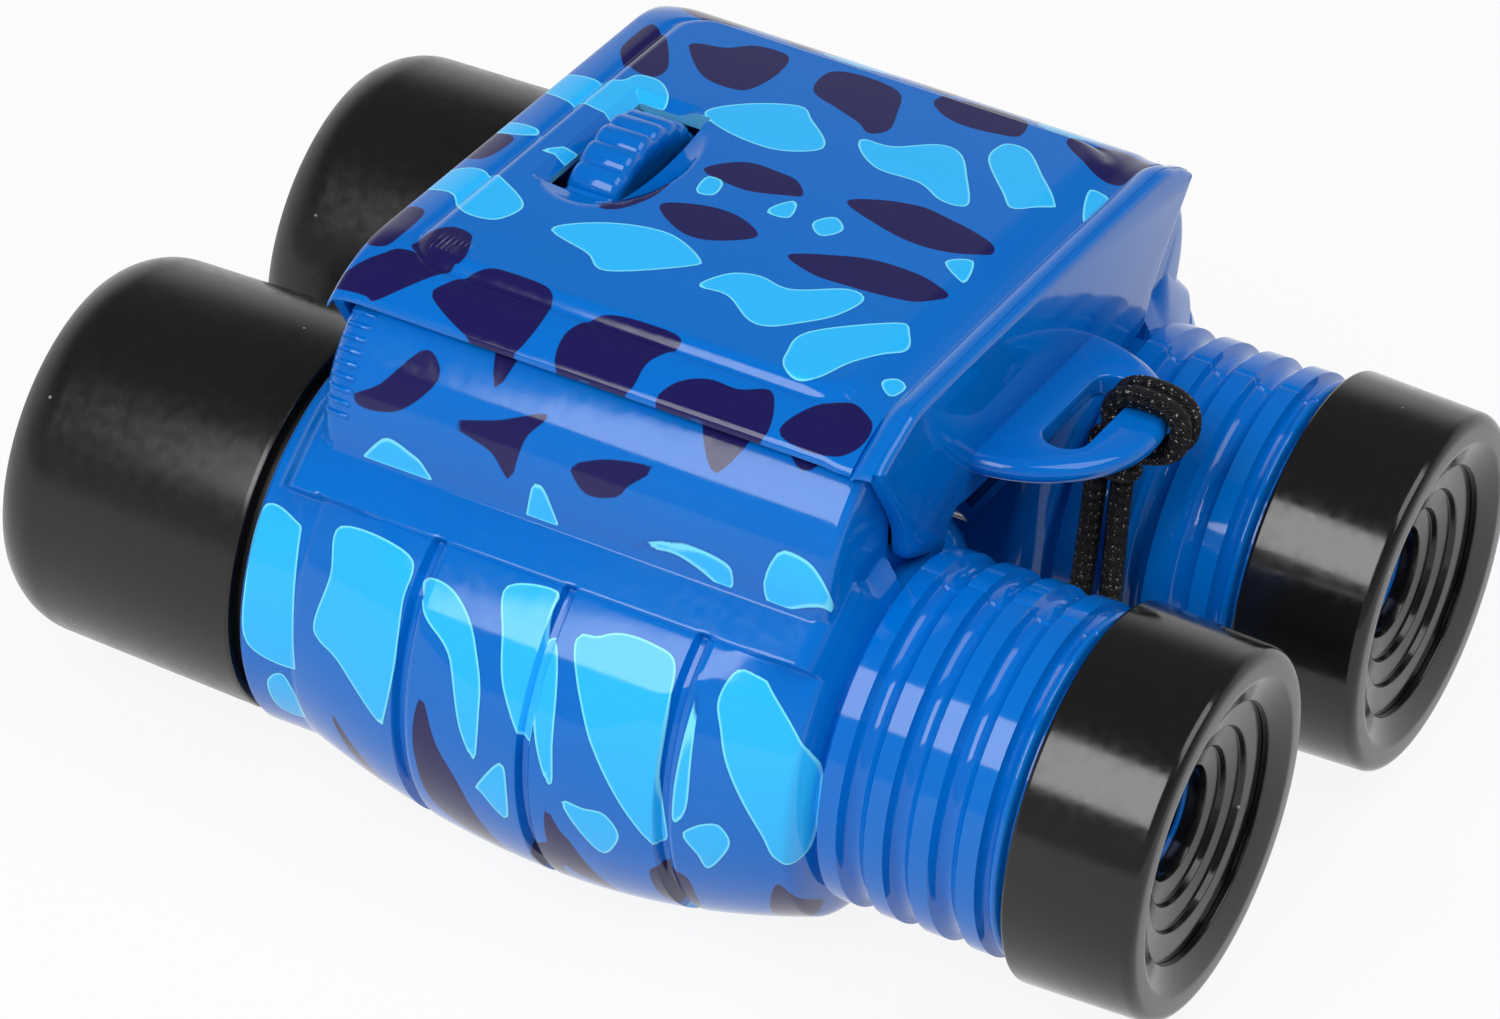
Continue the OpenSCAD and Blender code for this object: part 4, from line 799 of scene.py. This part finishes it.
def shell_piece(name, x_lines, y_lines, rise, finish, node):
    """Shell over the bridge, with a flat face at each end."""
    sections = [shell_section(x_lines, y, rise) for y in y_lines]
    n, m = len(sections[0]), len(x_lines)
    faces = grid_faces(len(y_lines), n, False)
    for start in (0, (len(y_lines) - 1) * n):
        for j in range(m - 1):
            faces.append((start + j, start + j + 1, start + 2 * m + 3 - j, start + 2 * m + 4 - j))
        faces.append(tuple(start + k for k in range(m - 1, m + 6)))
        faces.append(tuple(start + k % n for k in range(2 * m + 4, 2 * m + 11)))
    return bridge_piece(name, np.vstack(sections), faces, finish, node)


def cover():
    """Printed top cover, with the window for the wheel."""
    fine_x = [(-PANEL_X, 1.2, 0.16), (PANEL_X, 1.2, 0.16), (-SLOT_X, 1.6, 0.25), (SLOT_X, 1.6, 0.25)]
    fine_y = [(PANEL_FRONT, 1.6, 0.2), (BRIDGE_FRONT - 0.6, 0.7, 0.12), (SLOT_FRONT + 0.6, 1.4, 0.2)]
    fine_y += [(SLOT_REAR, 0.8, 0.25), (12, 1.2, 0.25), (GRIP_Y, 2.8, 0.15)]
    x_lines = lines(-LIP_X, LIP_X, 0.62, fine_x)
    y_lines = lines(BRIDGE_REAR + REAR_BAND, BRIDGE_FRONT, 0.62, fine_y)
    obj = shell_piece("top_cover_shell", x_lines, y_lines, cover_rise, PRINTED, "top_cover")
    co = np.array([v.co for v in obj.data.vertices]) / MM
    low_edge = SHOULDER_RISE - 6.5 + AXIS_Z
    for name, outlines in (("light", COVER_LIGHT), ("dark", COVER_DARK)):
        depth = depth_in(outlines, co[:, 0], co[:, 1])
        float_attribute(obj.data, name, np.minimum(depth, 1.5 - np.clip(low_edge - co[:, 2], 0, 9) * 8))
    cut(obj, (-SLOT_X, SLOT_REAR, AXIS_Z + 30), (SLOT_X, SLOT_FRONT, AXIS_Z + 50))


def band_rise(x):
    """Top of the rear band and plate: the panel's height, running softly into the shoulders."""
    return shoulder_rise(x) + (panel_rise(x) - shoulder_rise(x)) * ease((BAND_X - np.abs(x)) / BAND_SOFT)


def rear_band():
    """Rounded raised ridge at the rear of the bridge, in front of the end plate."""
    def rise(x, y):
        return band_rise(x) + 0.1 - 0.95 * np.clip((y - BRIDGE_REAR - 1.2) / 2.2, 0, 1) ** 2.2

    x_lines = lines(-LIP_X, LIP_X, 0.8)
    y_lines = lines(BRIDGE_REAR + 1.0, BRIDGE_REAR + REAR_BAND - 0.05, 0.2)
    shell_piece("bridge_rear_band", x_lines, y_lines, rise, PLAIN_BLUE, "bridge_frame")


def inset(loop, distance):
    """Moves a counter-clockwise closed outline inwards."""
    edges = np.roll(loop, -1, axis=0) - loop
    ways = edges / np.maximum(np.linalg.norm(edges, axis=1), 1e-9)[:, None]
    both = np.roll(ways, 1, axis=0) + ways
    normal = np.stack([-both[:, 1], both[:, 0]], axis=1)
    normal /= np.maximum(np.linalg.norm(normal, axis=1), 1e-9)[:, None]
    return loop + normal * distance


def plate(name, right_half, levels):
    """Upright plate of the bridge from its outline on the right side and (y, inset) levels."""
    loop = np.array(right_half + [(-x, z) for x, z in right_half[::-1] if x > 0])
    points = np.vstack([np.insert(inset(loop, distance), 1, y, axis=1) for y, distance in levels])
    bridge_piece(name, points, bar_faces(len(levels), len(loop)), PLAIN_BLUE, "bridge_frame")


def cover_arc(radius, a0, a1, steps):
    """Points of the right shoulder's arc, from a0 to a1 degrees."""
    angles = np.radians(np.linspace(a0, a1, steps))
    return [(AXIS_X + radius * math.cos(a), HINGE_RISE + radius * math.sin(a)) for a in angles]


def rear_plate():
    """End plate with a rounded rim and a lobe over each hinge pin."""
    lower = [(12.7, 20.8), (15.5, 20.9), (17.4, 21.1), (18.6, 20.2), (19.7, 18.6), (22.2, 18.4), (24.5, 19),
             (27.6, 20.2), (29.4, 21.4), (30, 23.2), (30.6, 25.2), (32.3, 28), (34.9, 31.4), (37.3, 34.6)]
    outline = [tuple(p) for p in curve_through(lower, False, 4)] + cover_arc(COVER_R, LIP_ANGLE + 1, 68, 7)
    crown = (33.5, 32.6, 31.7, 30.8, 29.9, 29.0, *np.linspace(28, 0, 11))
    outline += [(x, float(band_rise(np.array(x)))) for x in crown]
    rim = [(0, 1), (0.06, 0.62), (0.22, 0.3), (0.5, 0.08), (0.85, 0), (PLATE_T - 0.2, 0), (PLATE_T, 0.2)]
    plate("bridge_rear_plate", outline, [(BRIDGE_REAR + y, inset_by) for y, inset_by in rim])


def front_plate():
    """Plate between the rails, inside the front of the cover."""
    arc_r = COVER_R - COVER_WALL - 0.1
    outline = [(0, 23.5), (26, 23.5), (26.2, 21.6), (27, 20.9), (28, 20.7), (29, 20.9), (29.8, 21.6),
               (30, 23.5), *cover_arc(arc_r, 49, 90, 12), (0, HINGE_RISE + arc_r)]
    levels = [(BRIDGE_FRONT - PLATE_T, 0), (BRIDGE_FRONT - 0.5, 0), (BRIDGE_FRONT - 0.3, 0.2)]
    plate("bridge_front_plate", outline, levels)


def strap_lug():
    """D-shaped lug with a rounded rim round its long slot; its root is sunk in the end plate."""
    n = 120
    turn = np.linspace(0, 2 * math.pi, n, endpoint=False) + math.pi / n
    way = np.stack([np.cos(turn), np.sin(turn)], axis=1)
    middle = np.array([0.0, LUG_SLOT_Y])
    to_slot = LUG_SLOT_Y - (BRIDGE_REAR + 0.8)
    root = BRIDGE_REAR + 1.7

    def outer(inset_by):
        b = to_slot * way[:, 1]
        reach = -b + np.sqrt(b * b - to_slot**2 + (LUG_R - inset_by) ** 2)
        back = np.where(way[:, 1] > 0, (root - LUG_SLOT_Y) / np.maximum(way[:, 1], 1e-6), np.inf)
        return middle + way * np.minimum(reach, back)[:, None]

    def slot(inset_by):
        half, r = LUG_SLOT_HALF - LUG_SLOT_W / 2, LUG_SLOT_W / 2 - inset_by
        straight = r / np.maximum(np.abs(way[:, 1]), 1e-6)
        c = half * np.abs(way[:, 0])
        round_end = c + np.sqrt(np.maximum(c * c - half**2 + r**2, 0))
        return middle + way * np.where(straight * np.abs(way[:, 0]) <= half, straight, round_end)[:, None]

    hole = [(slot(by), drop) for by, drop in ((0, 0.55), (-0.04, 0.28), (-0.16, 0.09), (-0.4, 0))]
    rim = [(outer(by), drop) for by, drop in ((1.5, 0), (0.95, 0.1), (0.5, 0.33), (0.17, 0.72), (0, 1.2))]
    rows = [(flat, LUG_RISE - drop) for flat, drop in hole + rim]
    rows += [(flat, LUG_RISE - LUG_T + drop) for flat, drop in (hole + rim)[::-1]]
    points = np.vstack([np.insert(flat, 2, z, axis=1) for flat, z in rows])
    bridge_piece("strap_lug_body", points, grid_faces(len(rows), n), PLAIN_BLUE, "bridge_frame", 40)


def focus_wheel():
    """Scalloped wheel: rounded ridges along Y with narrow valleys between them, and its hub."""
    segments = RIDGES * 14
    angles = np.linspace(0, 2 * math.pi, segments, endpoint=False)
    crest = WHEEL_R - RIDGE_H + RIDGE_H * np.abs(np.sin(angles * RIDGES / 2)) ** 0.7
    half, web_r = WHEEL_W / 2, WHEEL_R - 3.6
    rim = [(0.0, half - 1.0), (0.25, half - 0.45), (0.8, half - 0.1), (1.5, half)]
    rows = [(crest - fall, -y) for fall, y in rim[::-1]] + [(crest - fall, y) for fall, y in rim]
    end = half + HUB_OUT
    rows += [(web_r, half - 0.3), (HUB_R + 0.2, half - 0.6), (HUB_R, end), (HUB_BORE_R, end),
             (HUB_BORE_R, -end), (HUB_R, -end), (HUB_R + 0.2, -half + 1), (web_r, -half + 0.6)]
    points = np.vstack([turned(r, WHEEL_Y + y, angles) for r, y in rows]) + [0, 0, WHEEL_RISE + AXIS_Z]
    faces = grid_faces(len(rows), segments)
    piece("focus_wheel_rim", points, faces, "wheel", PLAIN_BLUE, ["focus_wheel"], 50)


# Round parts


def eyecup(side):
    """Sleeve with a rounded rim and a short cone, and the rings that step down to the eye hole."""
    cup = [(14.7, -68.9, 0.25), (17.8, CUP_REAR, 1.5), (CUP_R, CUP_REAR, 1.35), (CUP_R + 0.5, NECK_REAR, 0.5),
           (16.5, NECK_REAR, 0), (16.5, NECK_REAR + 8, 0), (15, NECK_REAR + 8, 0),
           (CUP_BORE_R, NECK_REAR, 0), (CUP_BORE_R, CUP_DEEP, 0), (14.7, CUP_DEEP, 0)]
    rings = [(15.1, -68.15, 0)]
    for wall, level in EYE_WALLS:
        rings += [(wall + 0.08, level, 0.2), (wall - 0.08, level + 0.7, 0.1)]
    rings += [(6.3, -63, 0), (8, -63, 0), (8, -57, 0), (9.4, -57, 0), (9.4, -60.95, 0), (15.1, -60.95, 0)]
    retainer = [(5.5, -63.55, 0.15), (6.25, -63.55, 0), (6.25, -63.1, 0), (5.5, -63.1, 0.1)]
    lathe(side, "eyecup_body", rounded(cup), "barrel", CUP_BLACK, ["eyecup"])
    lathe(side, "ocular_rings", rounded(rings), "barrel", RING_BLACK, ["ocular_holder"], sharp=25)
    lathe(side, "lens_retainer", rounded(retainer), "barrel", PLAIN_BLUE)


def hood(side):
    """Sliding hood with a soft rounded nose and a lip at its mouth."""
    front, rear = hood_high[1], hood_low[1]
    rim = [(22.05, 0), (22.28, 0.1), (22.38, 0.35), (22.4, 0.7)]
    outline = [(TUBE_R, rear), *[(r, rear + y) for r, y in rim]]
    for a in np.linspace(0, NOSE_END, 16):
        close = (1 - math.cos(a)) / (1 - math.cos(NOSE_END))
        outline.append((NOSE_R - NOSE_W * close, front - NOSE_L * (1 - math.sin(a) / math.sin(NOSE_END))))
    lip = NOSE_R - NOSE_W - 1.3
    outline += [(lip + 1.12, front), (lip + 0.45, front), (lip + 0.13, front - 0.12), (lip, front - 0.45),
                (lip, TUBE_FRONT), (TUBE_R, TUBE_FRONT)]
    lathe(side, "hood_body", np.array(outline), "focus", HOOD_BLACK, ["hood"])


# Neck cord


def tube(name, path, diameter, sides, replaces):
    """Braided tube along a path, with rounded ends and its braid coordinates."""
    path = np.array(path, float)
    tangent = np.gradient(path, axis=0)
    tangent /= np.linalg.norm(tangent, axis=1)[:, None]
    along = arc_length(path)
    side = np.cross(tangent[0], [0.3, 0.2, 0.9])
    u = []
    for t in tangent:
        side = unit(side)
        side = unit(side - t * (side @ t))
        u.append(side)
    u = np.array(u)[:, None, :]
    v = np.cross(tangent, u[:, 0])[:, None, :]
    r = diameter / 2
    angles = np.linspace(0, 2 * math.pi, sides, endpoint=False)
    rings = path[:, None, :] + r * (np.cos(angles)[:, None] * u + np.sin(angles)[:, None] * v)
    caps = []
    for end, way in ((0, -1), (-1, 1)):
        for bulge, share in ((0.28, 0.85), (0.42, 0.5)):
            centre = path[end] + way * tangent[end] * r * bulge
            caps.append(centre + (rings[end] - path[end]) * share)
    rows = [caps[1], caps[0], *rings, caps[2], caps[3]]
    spots = np.concatenate([[0, 0], along, [along[-1]] * 2])
    obj = piece(name, np.vstack(rows), bar_faces(len(rows), sides), "bridge", BRAID, replaces, 60)
    braid = obj.data.attributes.new("braid", "FLOAT_VECTOR", "CORNER")
    values = np.zeros((len(obj.data.loops), 3))
    for polygon in obj.data.polygons:
        corners = list(polygon.vertices)
        turns = [(c % sides) / sides for c in corners]
        if max(turns) - min(turns) > 0.5 and len(corners) == 4:
            turns = [t + 1 if t < 0.5 else t for t in turns]
        for loop, corner, t in zip(polygon.loop_indices, corners, turns):
            values[loop, :2] = t, spots[corner // sides]
    braid.data.foreach_set("vector", values.ravel())
    return obj


REAR_RUN = [
    (4, -41.5, 42.6), (4, -41.5, 39), (4.1, -41.6, 33), (4.4, -41.6, 26), (4.8, -41.5, 19),
    (5.6, -41.2, 12.5), (7.4, -40.8, 7), (10.6, -40.2, 3.2), (15, -39.4, 1.6), (20, -38.6, 1.4),
    (27, -37.2, 1.4), (34, -35, 1.4), (40.5, -31, 1.4), (45.5, -24.5, 1.4), (49, -16, 1.4),
    (51.8, -6, 1.4), (54, 4, 1.5), (55.5, 14, 1.8), (56, 20, 2), (56, 23.4, 2),
]
FRONT_RUN = [
    (4, -38.4, 42.6), (4, -38.4, 39), (3.8, -38.4, 33), (3.4, -38.3, 26), (3, -37.9, 19),
    (2.5, -36.8, 12.5), (1.9, -34.4, 7), (1.1, -30.6, 3.2), (0.4, -25.6, 1.6), (0, -20, 1.4),
    (0, -10, 1.4), (0, 0, 1.4), (0, 12, 1.4), (0.4, 24, 1.4), (2, 34.5, 1.4), (6.4, 43.4, 1.4),
    (13.6, 49, 1.4), (22, 51.6, 1.4), (31, 52.6, 1.4), (39.5, 52.2, 1.4), (47, 49.8, 1.6),
    (52.6, 44.8, 2.6), (55.4, 38, 4.3), (56, 32, 5.1), (56, 28.6, 5.1),
]


def coil_path():
    """Stored coil: spirals in below, climbs a layer, and spirals out above."""
    total = 2 * COIL_TURNS * COIL_STEPS
    out = []
    for i in range(total + 1):
        turn = (i - total / 2) / COIL_STEPS
        r = COIL_R - COIL_PITCH * (COIL_TURNS - math.sqrt(turn**2 + 0.004))
        climb = min(1, max(0, turn * 2 + 0.5))
        z = COIL_Z + COIL_PITCH * (3 * climb**2 - 2 * climb**3)
        a = math.radians(180 - 360 * i / COIL_STEPS)
        out.append((COIL_X + r * math.cos(a), COIL_Y + r * math.sin(a), z))
    return np.array(out)


def resample(path, step):
    """The path with even steps."""
    length = arc_length(path)
    spots = np.linspace(0, length[-1], int(length[-1] / step) + 1)
    return np.stack([np.interp(spots, length, path[:, k]) for k in range(3)], axis=1)


def neck_cord():
    """The whole cord from the knot, round the coil behind the far barrel and back to the knot."""
    rear, front = (curve_through(run, False, 8) for run in (REAR_RUN, FRONT_RUN))
    whole = np.vstack([rear, coil_path(), front[::-1]])
    path = resample(whole, 0.8)
    nodes = ["cord_rear_run", "cord_front_run", "cord_coil"]
    return tube("neck_cord", path, CORD_D, 14, nodes), path, arc_length(whole)[-1]


def cord_loop():
    """Two strands side by side round the bar of the lug, into the knot under it."""
    top, bottom = AXIS_Z + LUG_RISE, AXIS_Z + LUG_RISE - LUG_T
    y0, y1 = BAR_REAR - CORD_D / 2 - 0.05, LUG_SLOT_Y - LUG_SLOT_W / 2 + CORD_D / 2 + 0.05
    pieces = []
    for k, x in enumerate(LOOP_XS):
        round_bar = [
            (y1 - 0.9, bottom - 1.3), (y1, bottom + 0.9), (y1 - 0.35, top + 0.3), (y1 - 1.9, top + 1.3),
            ((y0 + y1) / 2, top + 1.5), (y0 + 1.9, top + 1.25), (y0 + 0.3, top + 0.2),
            (y0 - 0.05, bottom + 1.1), (y0 + 0.4, bottom - 0.7), (y0 + 2.0, bottom - 1.9),
        ]
        ends = [(4.0 + 0.3 * k, -40.6, bottom - 3.6), (4.4 + 0.3 * k, -41.4, bottom - 3.8)]
        path = [ends[0], *[(x, y, z) for y, z in round_bar], ends[1]]
        smooth = resample(curve_through(path, False, 10), 0.5)
        pieces.append(tube(f"cord_loop_strand_{k + 1}", smooth, LOOP_D, 16, ["cord_loop"]))
    return pieces


def cord_knot():
    """Two turns of the cord wrapped round the strands under the lug."""
    turns = np.linspace(0, KNOT_TURNS, 90)
    angle = 2 * math.pi * turns
    x, y = KNOT_X + KNOT_HALF_X * np.cos(angle), KNOT_Y + KNOT_HALF_Y * np.sin(angle)
    smooth = resample(np.stack([x, y, KNOT_TOP - KNOT_PITCH * turns], axis=1), 0.5)
    return tube("cord_knot_wrap", smooth, KNOT_D, 16, ["cord_knot"])


# Build everything

for side in (-1, 1):
    barrel_body(side)
    scale_marks(side)
    eyecup(side)
    hood(side)
cover()
rear_band()
rear_plate()
front_plate()
strap_lug()
focus_wheel()

cord, cord_path, cord_length = neck_cord()
loop_strands = cord_loop()
knot = cord_knot()

KEPT_NODES = [
    # The bridge base takes the darker blue as painted shade under the lug
    (SHADE_PAINTED_BLUE, ["bridge_base"]),
    (STEEL, ["cover_screws", "base_screws", "shell_screws", "focus_spindle"]),
    (BRASS, ["spindle_bushes"]),
    (GLASS, ["eye_lens", "objective_lens"]),
    (INNER_BLACK, ["focus_carriage", "cord_tie", "hinge_pins", "field_stop", "focus_tube", "lens_ring"]),
]
for node_name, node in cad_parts.items():
    plain = node_name.replace("left_", "").replace("right_", "")
    for material, names in KEPT_NODES:
        if plain in names:
            node.data.materials.clear()
            node.data.materials.append(material)


# Stage, light and camera


def stage_floor():
    """Pale floor that shows nearly white and keeps the object's shadow."""
    mesh = bpy.data.meshes.new("floor")
    corners = [(-1, -1), (1, -1), (1, 1), (-1, 1)]
    mesh.from_pydata([(x * FLOOR_HALF, y * FLOOR_HALF, 0) for x, y in corners], [], [(0, 1, 2, 3)])
    material, tree, bsdf = new_material("pale_floor")
    tone = (FLOOR_TONE, FLOOR_TONE, FLOOR_TONE, 1)
    set_inputs(tree, bsdf, Base__Color=tone, Roughness=0.9, Specular__IOR__Level=0.0)
    ray = add(tree, "ShaderNodeLightPath").outputs
    seen = calc(tree, "MAXIMUM", ray["Is Camera Ray"], ray["Is Glossy Ray"])
    seen = calc(tree, "MAXIMUM", seen, ray["Is Transmission Ray"])
    glow = add(tree, "ShaderNodeEmission", Color=(1, 1, 1, 1), Strength=1.0).outputs["Emission"]
    share = calc(tree, "MULTIPLY", seen, FLOOR_GLOW)
    both = add(tree, "ShaderNodeMixShader", in0=share, in1=bsdf.outputs["BSDF"], in2=glow)
    set_inputs(tree, tree.nodes["Material Output"], Surface=both.outputs["Shader"])
    mesh.materials.append(material)
    new_object("floor", mesh)


def area_light(name, place, width, height, radiance):
    """Rectangular softbox of a given radiance, aimed at the object."""
    light = bpy.data.lights.new(name, "AREA")
    light.shape = "RECTANGLE"
    light.size, light.size_y = width, height
    light.energy = radiance * width * height * math.pi
    obj = new_object(name, light)
    obj.location = place
    obj.rotation_euler = (Vector(LAMP_TARGET) - Vector(place)).to_track_quat("-Z", "Y").to_euler()


def world_light():
    """Soft studio surround: pale on the far side, dimmer on the near side, darker above."""
    world = bpy.data.worlds.new("studio")
    bpy.context.scene.world = world
    world.use_nodes = True
    tree = world.node_tree
    place = add(tree, "ShaderNodeTexCoord").outputs["Generated"]
    toward = add(tree, "ShaderNodeSeparateXYZ", Vector=place).outputs
    sides = [calc(tree, "MULTIPLY", toward[axis], share) for axis, share in (("X", 0.9), ("Y", 0.42))]
    far = calc(tree, "ADD", *sides)
    wall = remap(tree, far, -0.3, 0.5, NEAR_WALL, FAR_WALL, "SMOOTHSTEP")
    height = remap(tree, toward["Z"], 0.2, 0.62, 1.0, 0.0, "SMOOTHSTEP")
    shade = calc(tree, "ADD", calc(tree, "MULTIPLY", wall, height), CEILING_LEVEL)
    set_inputs(tree, tree.nodes["Background"], Strength=shade, Color=(1, 1, 1, 1))


def camera():
    """Camera fitted to the photograph's outlines."""
    a, e, roll = (math.radians(v) for v in (CAMERA_AZIMUTH, CAMERA_ELEVATION, CAMERA_ROLL))
    back = Vector((math.sin(a) * math.cos(e), -math.cos(a) * math.cos(e), math.sin(e)))
    level = Vector((0, 0, 1)).cross(back).normalized()
    upright = back.cross(level)
    right = level * math.cos(roll) + upright * math.sin(roll)
    up = upright * math.cos(roll) - level * math.sin(roll)
    data = bpy.data.cameras.new("camera")
    data.sensor_width = 36.0
    data.lens = CAMERA_LENS
    data.clip_start, data.clip_end = 0.01, 20.0
    obj = new_object("camera", data)
    turn = Matrix((right, up, back)).transposed().to_4x4()
    obj.matrix_world = Matrix.Translation(CAMERA_PLACE) @ turn
    bpy.context.scene.camera = obj


stage_floor()
for lamp in LAMPS:
    area_light(*lamp)
world_light()
camera()
bpy.context.scene.view_settings.view_transform = "Standard"
